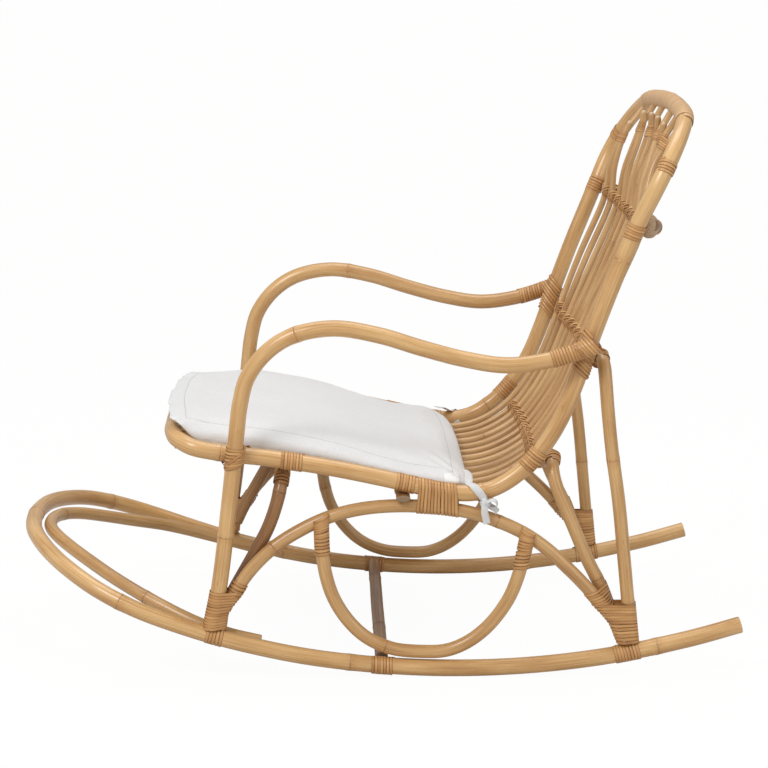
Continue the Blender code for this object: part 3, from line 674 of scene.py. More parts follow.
def wind(members, planes, turns, width=4.5, thick=0.85, lift=0.45, phase=0.0,
         ref=(0.0, 0.0, 1.0), jitter=0.0, seed=1):
    """Strip wound round the poles from the first plane (point, normal) to the last.

    lift is the height over the poles, ref the direction the turns are counted from, and
    jitter the seeded unevenness of their spacing."""
    planes = [(np.array(p, float), np.array(n, float) / np.linalg.norm(n)) for p, n in planes]
    rs = np.random.RandomState(seed)
    uneven = rs.uniform(-1, 1, int(turns) + 3)
    steps = int(turns * 60)
    path, outward = [], []
    for i in range(steps + 1):
        t = i / steps
        g = t * (len(planes) - 1)
        k = min(int(g), len(planes) - 2)
        f = g - k
        p = planes[k][0] * (1 - f) + planes[k + 1][0] * f
        n = planes[k][1] * (1 - f) + planes[k + 1][1] * f
        n /= np.linalg.norm(n)
        turn = t * turns
        if jitter:
            p = p + n * jitter * np.interp(turn, np.arange(len(uneven)), uneven)
        u = np.array(ref, float)
        u = u - n * u.dot(n)
        if np.linalg.norm(u) < 0.1:
            u = np.array(ALONG_X) - n * n[0]
        u /= np.linalg.norm(u)
        a = 2 * math.pi * turn + phase
        way = u * math.cos(a) + np.cross(n, u) * math.sin(a)
        cuts = [q for q in (cut_pole(m, p, n) for m in members) if q is not None]
        path.append(hull_point(cuts, n, way, lift))
        outward.append(way)
    return Strip(np.array(path), np.array(outward), width, thick)


def nearest(name, point):
    """Index of the pole's point nearest to a place, never its first or last."""
    line = CURVES[name].line
    i = int(np.argmin(np.linalg.norm(line - np.array(point, float), axis=1)))
    return max(1, min(i, len(line) - 2))


def turns_round(name, point, turns, pitch, **options):
    """Turns square to one pole, centred at the point."""
    line, _, tangent = CURVES[name]
    i = nearest(name, point)
    planes = []
    for s in np.linspace(-0.5, 0.5, 5):
        j = int(np.clip(i + s * turns * pitch, 1, len(line) - 2))
        planes.append((line[j], tangent[j]))
    return wind([name], planes, turns, **options)


def cross_band(a, b, point, turns, pitch, lean, **options):
    """Turns laid diagonally over two crossing poles; lean is the share of b's direction."""
    i, j = nearest(a, point), nearest(b, point)
    ta, tb = CURVES[a].tangent[i], CURVES[b].tangent[j]
    if ta.dot(tb) < 0:
        tb = -tb
    n = ta + tb * lean
    n /= np.linalg.norm(n)
    mid = (CURVES[a].line[i] + CURVES[b].line[j]) / 2
    h = turns * pitch / 2
    return wind([a, b], [(mid - n * h, n), (mid + n * h, n)], turns, **options)


def strip_mesh(name, strips):
    """Sweeps peel strips into one mesh."""
    verts, faces = [], []
    attributes = {"w_s": [], "w_x": [], "w_id": []}
    across, height = PEEL_SECTION.T
    m = len(PEEL_SECTION)
    base = 0
    for i, (path, outward, width, thick) in enumerate(strips):
        d = arc(path)
        keep = np.r_[True, np.diff(d) > 0.02]
        path, outward, d = path[keep], outward[keep], d[keep]
        n = max(6, int(d[-1] / 1.6))
        s = np.linspace(0, d[-1], n)
        centre = lerp_rows(s, d, path)
        t = tangents(centre)
        up = squared(lerp_rows(s, d, outward), t)
        rs = np.random.RandomState(i * 7 + seed_of(name))
        uneven = 1 + smooth_noise(rs, d[-1], 60, 0.06, s)
        taper = np.minimum(1, np.minimum(s, d[-1] - s) / 2.0) * 0.25 + 0.75
        verts.append(sweep(centre, np.cross(t, up), up,
                           np.outer(width * uneven * taper, across), height * thick - 0.1))
        attributes["w_s"].append(np.repeat(s + i * 311.0, m))
        attributes["w_x"].append(np.tile(across * 2, n))
        attributes["w_id"].append(np.full(n * m, (i * 0.37) % 1.0))
        faces += [tuple(base + q for q in f)[::-1] for f in ring_faces(n, m)]
        base += n * m
    attributes = {key: np.concatenate(parts) for key, parts in attributes.items()}
    return new_mesh(name, np.concatenate(verts), faces, attributes, 50)


# ------------------------------------------------------------------ materials
class Shader:
    """A new material, with short ways to add nodes to it."""

    def __init__(self, name):
        self.material = bpy.data.materials.new(name)
        self.material.use_nodes = True
        self.tree = self.material.node_tree
        self.surface = self.tree.nodes["Principled BSDF"]

    def feed(self, socket, value):
        """Links a socket, or sets a colour or a number."""
        if isinstance(value, bpy.types.NodeSocket):
            self.tree.links.new(value, socket)
        elif isinstance(value, tuple):
            socket.default_value = (*value, 1)
        else:
            socket.default_value = value

    def node(self, kind, inputs, **settings):
        made = self.tree.nodes.new("ShaderNode" + kind)
        for key, value in settings.items():
            setattr(made, key, value)
        for key, value in inputs.items():
            self.feed(made.inputs[key], value)
        return made

    def finish(self, **inputs):
        """Sets the surface; input names are written with underscores for spaces."""
        for key, value in inputs.items():
            self.feed(self.surface.inputs[key.replace("_", " ")], value)
        return self.material

    def attribute(self, name):
        return self.node("Attribute", {}, attribute_name=name).outputs["Fac"]

    def math(self, operation, *values):
        return self.node("Math", dict(enumerate(values)), operation=operation).outputs[0]

    def add(self, a, b):
        return self.math("ADD", a, b)

    def times(self, a, b):
        return self.math("MULTIPLY", a, b)

    def mix(self, blend, factor, a, b):
        made = self.node("Mix", {0: factor, 6: a, 7: b}, data_type="RGBA", blend_type=blend)
        return made.outputs[2]

    def vector(self, *parts):
        """Vector of (value, scale) parts."""
        scaled = {i: self.times(value, scale) for i, (value, scale) in enumerate(parts)}
        return self.node("CombineXYZ", scaled).outputs[0]

    def noise(self, vector, detail, roughness, scale=1.0):
        return self.node("TexNoise", {"Scale": scale, "Detail": detail,
                                      "Roughness": roughness, "Vector": vector}).outputs["Fac"]

    def ramp(self, factor, *stops):
        """Colour ramp with (position, colour) stops; a single number is a grey."""
        made = self.node("ValToRGB", {0: factor})
        elements = made.color_ramp.elements
        while len(elements) > 1:
            elements.remove(elements[-1])
        for i, (position, colour) in enumerate(stops):
            colour = colour if isinstance(colour, tuple) else (colour,) * 3
            element = elements.new(position) if i else elements[0]
            element.position = position
            element.color = (*colour, 1)
        return made.outputs[0]

    def bump(self, height, strength, distance):
        return self.node("Bump", {"Strength": strength, "Distance": distance,
                                  "Height": height}).outputs[0]


def srgb(*channels):
    """Linear colour from 0-255 sRGB channels."""
    return tuple(((c / 255.0 + 0.055) / 1.055) ** 2.4 if c > 10 else c / 255.0 / 12.92
                 for c in channels)


def rattan_material(name, light, mid, dark, scar, gloss, end=(226, 202, 166)):
    """Lacquered rattan: long fine streaks, cloudy tone, dark node scars, pale porous ends."""
    m = Shader(name)
    s, x, y = m.attribute("p_s"), m.attribute("p_x"), m.attribute("p_y")

    def grain(along, across, detail, roughness):
        """Noise drawn out along the pole."""
        return m.noise(m.vector((s, along), (x, across), (y, across)), detail, roughness)
    streak = grain(along=0.006, across=0.55, detail=5.0, roughness=0.62)
    fibre = grain(along=0.02, across=3.2, detail=3.0, roughness=0.7)
    cloud = grain(along=0.011, across=0.07, detail=3.0, roughness=0.5)
    spot = grain(along=0.05, across=0.22, detail=2.0, roughness=0.6)
    shade = m.add(m.times(streak, 0.55), m.times(cloud, 0.45))
    shade = m.add(shade, m.times(m.math("SUBTRACT", m.attribute("p_tone"), 0.5), 0.13))
    brightest = tuple(min(1, v * 1.12) for v in light)
    colour = m.ramp(shade, (0.30, dark), (0.46, mid), (0.60, light), (0.78, brightest))
    fibres = m.ramp(fibre, (0.32, (0.80, 0.74, 0.66)), (0.52, 1), (0.75, (1.06, 1.04, 1.0)))
    colour = m.mix("MULTIPLY", 0.45, colour, fibres)
    # small warm blemishes
    blemish = m.ramp(spot, (0.66, 0), (0.76, 1))
    colour = m.mix("MULTIPLY", m.times(blemish, 0.45), colour, (0.70, 0.50, 0.32))
    # darker bands at the nodes, and a scar line that fades in and out round the pole
    band, ring = m.attribute("p_band"), m.attribute("p_ring")
    colour = m.mix("MULTIPLY", m.times(band, 0.34), colour, (0.80, 0.62, 0.46))
    broken = grain(along=0.03, across=0.12, detail=2.0, roughness=0.6)
    broken = m.ramp(broken, (0.38, 0.12), (0.62, 1))
    colour = m.mix("MIX", m.times(m.times(ring, 0.55), broken), colour, scar)
    # painted shade: each pole is darkened by the amount set for it, for the shade it lies in
    # inside, under the seat and on the far side
    colour = m.mix("MULTIPLY", m.attribute("p_painted_shade"), colour, (0.36, 0.27, 0.20))
    # pale cut ends with pores
    pore = m.node("TexVoronoi", {"Scale": 1.0, "Vector": m.vector((x, 1.5), (y, 1.5))})
    pores = m.ramp(pore.outputs["Distance"], (0.12, srgb(*[c * 0.55 for c in end])),
                   (0.3, srgb(*[c * 0.93 for c in end])), (1.0, srgb(*end)))
    colour = m.mix("MIX", m.attribute("p_end"), colour, pores)
    roughness = m.add(m.times(fibre, 0.16), gloss - 0.05)
    roughness = m.add(roughness, m.times(m.attribute("p_end"), 0.35))
    relief = m.add(m.times(fibre, 0.6), m.times(streak, 0.6))
    return m.finish(Base_Color=colour, Roughness=roughness,
                    Normal=m.bump(relief, strength=0.25, distance=0.0004),
                    Specular_IOR_Level=0.45, Coat_Weight=0.45, Coat_Roughness=0.24)


def peel_material(name, light, mid, dark):
    """Glossy rattan peel: slow changes of tone, fibres along the strip, and darker edges as
    painted shade where the turns meet.
    """
    m = Shader(name)
    s, x, strip = m.attribute("w_s"), m.attribute("w_x"), m.attribute("w_id")
    fibre = m.noise(m.vector((s, 0.02), (x, 3.0), (strip, 50.0)), detail=4.0, roughness=0.65)
    tone = m.noise(m.vector((s, 0.012), (strip, 31.0)), detail=2.0, roughness=0.5)
    shade = m.add(m.times(fibre, 0.4), m.times(tone, 0.6))
    colour = m.ramp(shade, (0.33, dark), (0.48, mid), (0.64, light))
    # painted shade: the strip's edges are darkened for the shade in the gaps between turns
    edge = m.math("POWER", m.math("ABSOLUTE", x), 4.0)
    colour = m.mix("MULTIPLY", m.times(edge, 0.85), colour, (0.40, 0.25, 0.14))
    return m.finish(Base_Color=colour, Roughness=0.40,
                    Normal=m.bump(fibre, strength=0.3, distance=0.0003),
                    Specular_IOR_Level=0.45, Coat_Weight=0.2, Coat_Roughness=0.3)


def cloth_material(name, base, weave=1150.0, strength=0.55, sheen=0.25):
    """Plain-weave cotton: over-under threads, slubs, faint mottling and a soft sheen."""
    m = Shader(name)
    where = m.node("TexCoord", {}).outputs["Object"]

    def threads(axis, **inputs):
        values = {"Scale": weave, "Distortion": 1.2, "Detail": 1.0, "Vector": where}
        return m.node("TexWave", {**values, **inputs}, bands_direction=axis).outputs["Fac"]
    warp = threads("X", **{"Detail Scale": 0.3})
    weft = threads("Y", **{"Detail Scale": 0.3})
    upright = threads("Z")
    height = m.add(m.times(warp, weft), m.times(upright, 0.3))
    slub = m.noise(where, scale=260.0, detail=3.0, roughness=0.6)
    blot = m.noise(where, scale=9.0, detail=4.0, roughness=0.5)
    mottling = m.ramp(blot, (0.3, 0.955), (0.7, 1.0))
    slubs = m.ramp(slub, (0.35, (0.93, 0.93, 0.92)), (0.65, 1.0))
    woven = m.ramp(height, (0.0, (0.90, 0.90, 0.89)), (0.5, 1.0))
    colour = m.mix("MULTIPLY", 1.0, base, mottling)
    colour = m.mix("MULTIPLY", 0.8, colour, slubs)
    colour = m.mix("MULTIPLY", 0.8, colour, woven)
    relief = m.add(m.times(height, 0.6), m.times(slub, 0.6))
    return m.finish(Base_Color=colour, Roughness=0.92, Specular_IOR_Level=0.15,
                    Sheen_Weight=sheen, Sheen_Roughness=0.5,
                    Normal=m.bump(relief, strength=strength, distance=0.0004))


POLE = rattan_material("rattan_pole", light=srgb(222, 181, 124), mid=srgb(203, 158, 101),
                       dark=srgb(170, 121, 70), scar=srgb(96, 60, 33), gloss=0.30)
# painted shade: a darker copy of the pole material for the bows and bars that lie in shade
# under the seat and behind the back
POLE_PAINTED_SHADE = rattan_material("rattan_pole_painted_shade", light=srgb(172, 128, 80), mid=srgb(148, 104, 61),
                       dark=srgb(112, 74, 40), scar=srgb(64, 41, 24), gloss=0.34,
                       end=(150, 122, 94))
SPINDLE = rattan_material("rattan_spindle", light=srgb(214, 173, 118),
                          mid=srgb(193, 149, 96), dark=srgb(160, 114, 68),
                          scar=srgb(96, 60, 34), gloss=0.36)
PEEL_LASHING = peel_material("rattan_peel", light=srgb(218, 172, 112),
                             mid=srgb(196, 145, 88), dark=srgb(152, 102, 56))
PEEL_HEAD = peel_material("rattan_peel_head", light=srgb(226, 190, 142),
                          mid=srgb(214, 172, 122), dark=srgb(192, 148, 98))
# painted shade: a darker, greyer copy of the peel for the upper bar's ends, which lie in shade
# behind the posts
PEEL_PAINTED_SHADE = peel_material("rattan_peel_grey", light=srgb(208, 180, 148),
                          mid=srgb(180, 150, 118), dark=srgb(126, 100, 76))
CANVAS = cloth_material("cotton_canvas", srgb(237, 237, 238))
TAPE = cloth_material("cotton_tape", srgb(236, 236, 236), weave=1500.0, strength=0.7)
# painted shade: the seam's cloth is a darker grey for the shade in the seam's crease
SEAM_WITH_PAINTED_SHADE = cloth_material("cotton_seam_painted_shade", srgb(206, 205, 203), weave=1500.0, strength=0.5)
HEM = cloth_material("cotton_hem", srgb(232, 230, 218), weave=1500.0, strength=0.5)
LABEL = cloth_material("label_ribbon", srgb(248, 248, 248), weave=2600.0, strength=0.25,
                       sheen=0.4)

# ------------------------------------------------------------------ building the poles
# name, material, slot, darkness (painted shade for poles that lie in shade inside, under the
# seat and on the far side)
POLES = [
    ("runner_hoop", POLE, "pole", 0.0), ("inner_front_hoop", POLE, "pole", 0.22),
    ("seat_back_hoop", POLE, "pole", 0.0), ("arm_leg_L", POLE, "pole", 0.0),
    ("arm_leg_R", POLE, "pole", 0.1), ("side_arch_L", POLE, "pole", 0.16),
    ("side_arch_R", POLE, "pole", 0.3), ("half_ring_L", POLE, "pole", 0.1),
    ("half_ring_R", POLE, "pole", 0.2), ("front_bow", POLE_PAINTED_SHADE, "pole_dark", 0.0),
    ("rear_leg_bow", POLE, "pole_dark", 0.12), ("rear_brace_bow", POLE, "pole_dark", 0.18),
    ("under_seat_bar", POLE_PAINTED_SHADE, "pole_dark", 0.3), ("upper_back_bar", POLE_PAINTED_SHADE, "pole_dark", 0.45),
    ("runner_bar", POLE_PAINTED_SHADE, "pole_dark", 0.12)]


def flatten_ends(obj, line):
    """Presses the under-seat bar's ends flat."""
    verts = np.array([v.co[:] for v in obj.data.vertices]) / MM
    y = np.abs(verts[:, 1])
    flat = np.clip((y - 234.0) / 20.0, 0, 1)
    half = line[:len(line) // 2 + 1][::-1]
    middle = np.interp(y, np.abs(half[:, 1]), half[:, 2])
    verts[:, 2] = middle + (verts[:, 2] - middle) * (1 - 0.46 * flat)
    verts[:, 0] = UNDER_BAR_X + (verts[:, 0] - UNDER_BAR_X) * (1 + 0.12 * flat)
    for v, place_ in zip(obj.data.vertices, verts):
        v.co = Vector(place_) * MM


def build_poles():
    for name, material, slot, tone in POLES:
        line, radius, _ = CURVES[name]
        if name == "under_seat_bar":
            obj = rattan(name + "_v", line, radius, sides=20, tone=tone, node_gap=(160, 240))
            flatten_ends(obj, line)
        elif radius < R_ARM:
            obj = rattan(name + "_v", line, radius, sides=20, tone=tone,
                         node_gap=(210, 380), swell=0.45)
        else:
            obj = rattan(name + "_v", line, radius, sides=26, tone=tone, swell=0.6,
                         closed=name == "seat_back_hoop")
        dress(obj, material, pieces=(name,))
    for k in range(N_SPIN):
        name = spindle_name(k)
        obj = rattan(name + "_v", CURVES[name].line, R_SPIN, sides=14, tone=0.05, step=6.0,
                     node_gap=(900, 1500), wander=0.6, swell=0.0, dome=True)
        dress(obj, SPINDLE, pieces=(name,))


# ------------------------------------------------------------------ lashings
def lashings_left():
    """Strips of each lashing on the left side; planes are (point, normal)."""
    hoop = "seat_back_hoop"
    return {
        "front_base_lashing": [
            wind(["arm_leg_L", "side_arch_L"],
                 [((-350, -284, 134), (0.05, 0, 1)), ((-356, -286, 106), (0.0, 0, 1)),
                  ((-364, -287, 78), (-0.06, 0, 1))],
                 13, width=4.9, ref=ALONG_X, jitter=0.5, seed=3),
            wind(["side_arch_L"],
                 [((-344, -284, 128), (0.5, 0, 1)), ((-329, -284, 146), (0.6, 0, 1))],
                 4, width=4.4, ref=ALONG_X, lift=0.9),
            turns_round("runner_hoop", (-364, -287, 66), 5, 4.9, width=4.6, lift=0.6)],
        "rear_base_lashing": [
            wind(["side_arch_L", "rear_brace_bow"],
                 [((198, -276, 132), (-0.42, 0, 1)), ((222, -276, 104), (-0.30, 0, 1))],
                 8, width=4.5, ref=ALONG_X, jitter=0.4, seed=5),
            wind(["side_arch_L", "rear_leg_bow"],
                 [((233, -283, 110), (0.02, 0, 1)), ((236, -283, 84), (-0.02, 0, 1)),
                  ((241, -284, 50), (-0.10, 0, 1))],
                 13, width=4.8, ref=ALONG_X, jitter=0.5, seed=6, lift=0.8),
            turns_round("runner_hoop", (243, -284, 33), 8, 4.7, width=4.5, lift=0.7)],
        "leg_rail_lashing": [
            wind(["arm_leg_L"],
                 [((-331, -295, 349), (0.10, 0, 1)), ((-333, -295, 334), (-0.12, 0, 1)),
                  ((-335, -295, 320), (-0.30, 0, 1))],
                 7, width=4.3, lift=0.7, jitter=0.6, seed=8),
            cross_band("arm_leg_L", hoop, (-333, -283, 334), 1.2, 4.6, lean=0.8, width=4.2,
                       lift=1.5, phase=0.3)],
        "rail_arch_lashing": [
            wind([hoop, "side_arch_L"],
                 [((-66, -Y_RAIL, 268), (1, 0, -0.10)), ((-37, -Y_RAIL, 266), (1, 0, -0.03)),
                  ((-7, -Y_RAIL, 264), (1, 0, 0.04))],
                 12, width=4.7, jitter=0.35, seed=11)],
        "half_ring_front_lashing": [
            wind(["half_ring_L"],
                 [((-206, -281, 184), (0.02, 0, 1)), ((-206, -281, 208), (-0.05, 0, 1)),
                  ((-205, -281, 229), (-0.34, 0, 1)), ((-201, -281, 245), (-0.58, 0, 1))],
                 14, width=4.3, lift=1.0, jitter=0.5, seed=12)],
        "half_ring_rear_lashing": [
            wind(["half_ring_L"],
                 [((88, -282, 162), (0.0, 0, 1)), ((89, -282, 186), (0.08, 0, 1)),
                  ((89, -282, 207), (0.34, 0, 1)), ((85, -282, 223), (0.58, 0, 1))],
                 14, width=4.3, lift=1.0, jitter=0.5, seed=15)],
        "arm_post_lashing": [
            turns_round("arm_leg_L", (150, -296, 483), 11, 4.4, width=4.3),
            cross_band("arm_leg_L", hoop, (180, -283, 489), 6.0, 4.5, lean=0.75, width=4.4,
                       lift=0.9, phase=0.4, jitter=0.4, seed=19),
            wind([hoop],
                 [((164, -271, 457), (0.72, 0, 0.69)), ((175, -271, 480), (0.80, 0, 0.60)),
                  ((187, -271, 504), (0.70, 0, 0.71))],
                 10, width=4.5, lift=1.6, phase=0.2, jitter=0.7, seed=20),
            turns_round("rear_leg_bow", (202, -238, 469), 5, 4.3, width=4.2, lift=0.8,
                        jitter=0.5, seed=43)],
        "front_bow_lashing": [
            turns_round(hoop, (-250, -Y_RAIL, 323), 7, 4.4, width=4.3, jitter=0.4, seed=21),
            turns_round("front_bow", (-266, -257, 305), 3, 4.0, width=4.1, lift=1.4,
                        jitter=0.6, seed=22)],
        "brace_shoulder": [
            turns_round("rear_brace_bow", (135, -236, 315), 4, 4.2, width=4.1, lift=0.8,
                        jitter=0.5, seed=44)],
        "under_bar_lashing": [turns_round(hoop, (-84, -Y_RAIL, 290), 6, 4.6, width=4.4)],
        "runner_bar_lashing": [
            turns_round("runner_hoop", (-119, -285, 18), 7, 4.5, width=4.3)],
        "upper_bar_lashing": [
            turns_round(hoop, (245, -271, 658), 5, 4.6, width=4.4, lift=0.7, jitter=0.4,
                        seed=25)],
        "brace_post_lashing": [
            turns_round(hoop, (101, -Y_RAIL, 326), 7, 4.6, width=4.4, jitter=0.4, seed=28)],
        "post_ring": [turns_round(hoop, (285, -278, 750), 4, 4.3, width=4.2)]}


def build_lashings():
    right_raise = np.array((4.5, 0.0, 9.0))      # the right upper lashing sits higher
    for name, left in lashings_left().items():
        right = [s._replace(path=s.path * MIRROR, outward=s.outward * MIRROR) for s in left]
        if name == "upper_bar_lashing":
            right = [s._replace(path=s.path + right_raise) for s in right]
        for tag, strips in (("L", left), ("R", right)):
            piece = "%s_%s" % (name, tag)
            obj = strip_mesh(piece + "_peel", strips)
            dress(obj, PEEL_LASHING,
                  pieces=() if name == "brace_shoulder" else (piece,))


def build_head_wrap():
    """Broad peel round the head of the back."""
    line, _, tangent = CURVES["seat_back_hoop"]
    top = [i for i in np.argsort(line[:, 1]) if line[i, 2] > 760 and abs(line[i, 1]) < 206]
    planes = [(line[i], tangent[i] if tangent[i][1] > 0 else -tangent[i]) for i in top[::12]]
    length = sum(np.linalg.norm(b[0] - a[0]) for a, b in zip(planes, planes[1:]))
    strip = wind(["seat_back_hoop"], planes, int(length / 9.5), width=9.9, thick=0.8,
                 jitter=0.5, seed=31)
    dress(strip_mesh("head_rail_wrap_peel", [strip]), PEEL_HEAD,
          pieces=("head_rail_wrap",))


def build_spindle_crosses():
    """Thin peel crossed over each spindle where it lies on a bar or bow."""
    strips = []
    for k in range(N_SPIN):
        name = spindle_name(k)
        line = CURVES[name].line
        for bar in ("upper_back_bar", "rear_leg_bow", "rear_brace_bow", "under_seat_bar",
                    "front_bow"):
            if bar == "rear_brace_bow" and k in (0, N_SPIN - 1):
                continue
            bar_line = CURVES[bar].line
            near = np.abs(bar_line[:, 1] - line[len(line) // 2, 1]) < 40
            if bar.endswith("bow"):      # only the crown, not the legs
                near &= bar_line[:, 2] > bar_line[:, 2].max() - 20
            close, sparse = bar_line[near], line[::4]
            apart = np.linalg.norm(close[:, None] - sparse[None], axis=2)
            if apart.min() > 30:
                continue
            i, j = np.unravel_index(apart.argmin(), apart.shape)
            point = (close[i] + sparse[j]) / 2
            for lean, lift in ((1.0, 0.3), (-1.0, 0.9)):
                strips.append(cross_band(name, bar, point, 2.3, 3.0, lean, width=3.3,
                                         thick=0.8, lift=lift))
    dress(strip_mesh("spindle_cross_lashings", strips), PEEL_LASHING)


def build_bar_ends():
    """Peel round the upper bar's ends, which stand out behind the posts."""
    line, radius, _ = CURVES["upper_back_bar"]
    rows, around = 30, 32
    for (tag, side), end, extra in zip(SIDES, (line[0], line[-1]), (6.8, 1.6)):
        end_y = abs(end[1])
        verts = []
        for i in range(rows + 1):
            u = i / rows
            y = end_y - 24.0 + 27.0 * math.sin(u * math.pi / 2)
            dome = 1 - max(0.0, (y - end_y + 10.0) / 13.2) ** 2
            r = (radius + extra) * math.sqrt(max(0.0004, dome))
            for k in range(around):
                a = 2 * math.pi * k / around
                # strands run slantwise over the end
                slant = r * math.cos(a + 0.9)
                ridge = 1.5 * abs(math.sin(slant * math.pi / 4.4)) ** 0.6
                verts.append((end[0] - 3.5 + r * math.cos(a) * 0.9,
                              side * (y + ridge * min(1.0, u * 1.4)),
                              end[2] - 3.0 + (r * 1.05 + ridge * (1 - u)) * math.sin(a)))
        obj = new_mesh("upper_bar_end_" + tag, verts, ring_faces(rows + 1, around))
        # the ends take the greyer peel as painted shade for the shade behind the posts
        dress(face_outward(obj), PEEL_PAINTED_SHADE)


def build_pair_bands():
    """Bands that hold the six pairs of spindles under the head."""
    strips = []
    for a in range(0, N_SPIN, 2):
        pair = [spindle_name(a), spindle_name(a + 1)]
        z = 752.0 if a == N_SPIN - 2 else 775.0
        tops = [CURVES[n].line[CURVES[n].line[:, 2] > 720] for n in pair]
        i, j = [int(np.argmin(np.abs(top[:, 2] - z))) for top in tops]
        p = (tops[0][i] + tops[1][j]) / 2
        t = tangents(tops[0])[max(1, min(i, len(tops[0]) - 2))]
        strips.append(wind(pair, [(p - t * 8, t), (p + t * 8, t)], 4.6, width=3.7,
                           thick=0.75, lift=0.3, jitter=0.4, seed=a, ref=(0, 1, 0)))
    dress(strip_mesh("spindle_pair_bands", strips), PEEL_LASHING)


# ------------------------------------------------------------------ cushion
CUSHION_X = (-441.0, 13.0)      # front and rear limits of the cushion's heights

# plan of the front and sides, and of the rear edge, from left to right, (y, x)
FRONT_EDGE = np.array([
    (-253, -330), (-253, -390), (-252, -416), (-244, -427), (-224, -433), (-190, -435),
    (-159, -438), (-110, -441), (-55, -441.5), (0, -440), (56, -438), (100, -432),
    (140, -422), (170, -411.5), (195, -400), (218, -387), (236, -371), (248, -350),
    (252, -328)], float)
REAR_EDGE = np.array([
    (-252, -14), (-250, 3), (-242, 13), (-215, 14), (-150, 13.5), (-60, 13.5), (60, 13.5),
    (150, 11), (205, 5), (235, -6), (248, -20), (252, -36)], float)
# height of the top along the middle, (x, z)
TOP = np.array([
    (-441, 384), (-434, 386), (-418, 387.5), (-395, 384), (-370, 378.5), (-345, 375),
    (-300, 369), (-242, 358.5), (-192, 347.5), (-110, 325.5), (-60, 313), (-12, 306),
    (3, 302), (12, 297)], float)
# fall of the top towards each side, (x, fall)
FALL_LEFT = np.array([(-441, 8), (-400, 8), (-345, 6), (-300, 5), (12, 5)], float)
FALL_RIGHT = np.array([(-441, 10), (-418, 13), (-395, 15), (-370, 9), (-345, 6), (-300, 5),
                       (12, 5)], float)
# section of the pad: share of the plan, height from underside (0) to top (1)
PAD_SECTION = [(s, 0.0) for s in np.linspace(0.04, 0.90, 14)]
PAD_SECTION += [(0.94, 0.03), (0.972, 0.11), (0.992, 0.20), (1.0, 0.30), (1.0, 0.45),
                (0.998, 0.60), (0.988, 0.77), (0.965, 0.9), (0.93, 0.97)]
PAD_SECTION += [(s, 1.0) for s in np.linspace(0.88, 0.04, 14)]


def cushion_under(x, y=0.0):
    """Height of the underside: on the spindles, and at the front over the rail."""
    if x > -345:
        low = on_profile(x=x)[2] - SEAT_DROP + R_SPIN + 0.7
    else:
        low = 335.6 + (-345.0 - x) * 0.19
    rise = ease(x, -390.0, -419.0)
    if y > 180.0:        # the right front corner sits down inside the rail's bend
        rise *= 1.0 - min(1.0, (y - 180.0) / 50.0)
    return low * (1 - rise) + 373.0 * rise


def cushion_top(x, y):
    fall = FALL_RIGHT if y > 0 else FALL_LEFT
    drop = np.interp(x, fall[:, 0], fall[:, 1]) * min(1.12, abs(y) / 222.0) ** 3
    return max(np.interp(x, TOP[:, 0], TOP[:, 1]) - drop, cushion_under(x, y) + 13.0)


def within_cushion(x):
    return min(max(x, CUSHION_X[0]), CUSHION_X[1])


def outline(n, inset=0.0):
    """Plan of the cushion as n evenly spaced (x, y) points, rounded and set in."""
    corners = np.vstack([FRONT_EDGE[::-1, ::-1], REAR_EDGE[:, ::-1], FRONT_EDGE[-1:, ::-1]])
    p = resample(corners, 1001)[:-1]
    kernel = np.hanning(21)[1:-1]
    kernel /= kernel.sum()
    q = np.stack([np.convolve(np.r_[p[-9:, k], p[:, k], p[:9, k]], kernel, "valid")
                  for k in (0, 1)], 1)
    t = np.roll(q, -1, 0) - np.roll(q, 1, 0)
    t /= np.linalg.norm(t, axis=1)[:, None]
    q = q + np.stack([-t[:, 1], t[:, 0]], 1) * inset
    return resample(np.vstack([q, q[:1]]), n + 1)[:-1]


def rough_pad():
    """The cushion before it is filled out."""
    edge = outline(132)
    verts = []
    for share, height in PAD_SECTION:
        for x, y in edge:
            px, py = CUSHION_MID + (x - CUSHION_MID) * share, y * share
            low = cushion_under(within_cushion(px), py) + 1.2
            high = cushion_top(px, py) - 1.5
            verts.append((px, py, low + (high - low) * height))
    obj = new_mesh("cushion_pad", verts, ring_faces(len(PAD_SECTION), len(edge)))
    return face_outward(obj)


def inflated(obj, before):
    """Vertex places after a short pressure simulation that moves each by 4.5 mm at most."""
    frames, most = 20, 0.0045
    # the underside rests on the spindles and stays where it is
    pin = obj.vertex_groups.new(name="pin")
    pin.add([i for i, v in enumerate(before)
             if v[2] < cushion_under(v[0] / MM) * MM + 0.006], 1.0, "REPLACE")
    cloth = obj.modifiers.new("cloth", "CLOTH")
    settings = cloth.settings
    settings.quality = 6
    settings.mass = 0.25
    settings.tension_stiffness = 14
    settings.compression_stiffness = 14
    settings.shear_stiffness = 8
    settings.bending_stiffness = 0.6
    settings.use_pressure = True
    settings.uniform_pressure_force = 4.0
    settings.effector_weights.gravity = 0.0
    settings.vertex_group_mass = "pin"
    cloth.collision_settings.use_collision = False
    cloth.point_cache.frame_start = 1
    cloth.point_cache.frame_end = frames
    scene = bpy.context.scene
    for frame in range(1, frames + 1):
        scene.frame_set(frame)
    result = obj.evaluated_get(bpy.context.evaluated_depsgraph_get())
    after = np.array([v.co[:] for v in result.to_mesh().vertices])
    result.to_mesh_clear()
    obj.modifiers.remove(cloth)
    scene.frame_set(1)
    move = after - before
    size = np.linalg.norm(move, axis=1)
    return before + move * np.minimum(1.0, most / np.maximum(size, 1e-9))[:, None]


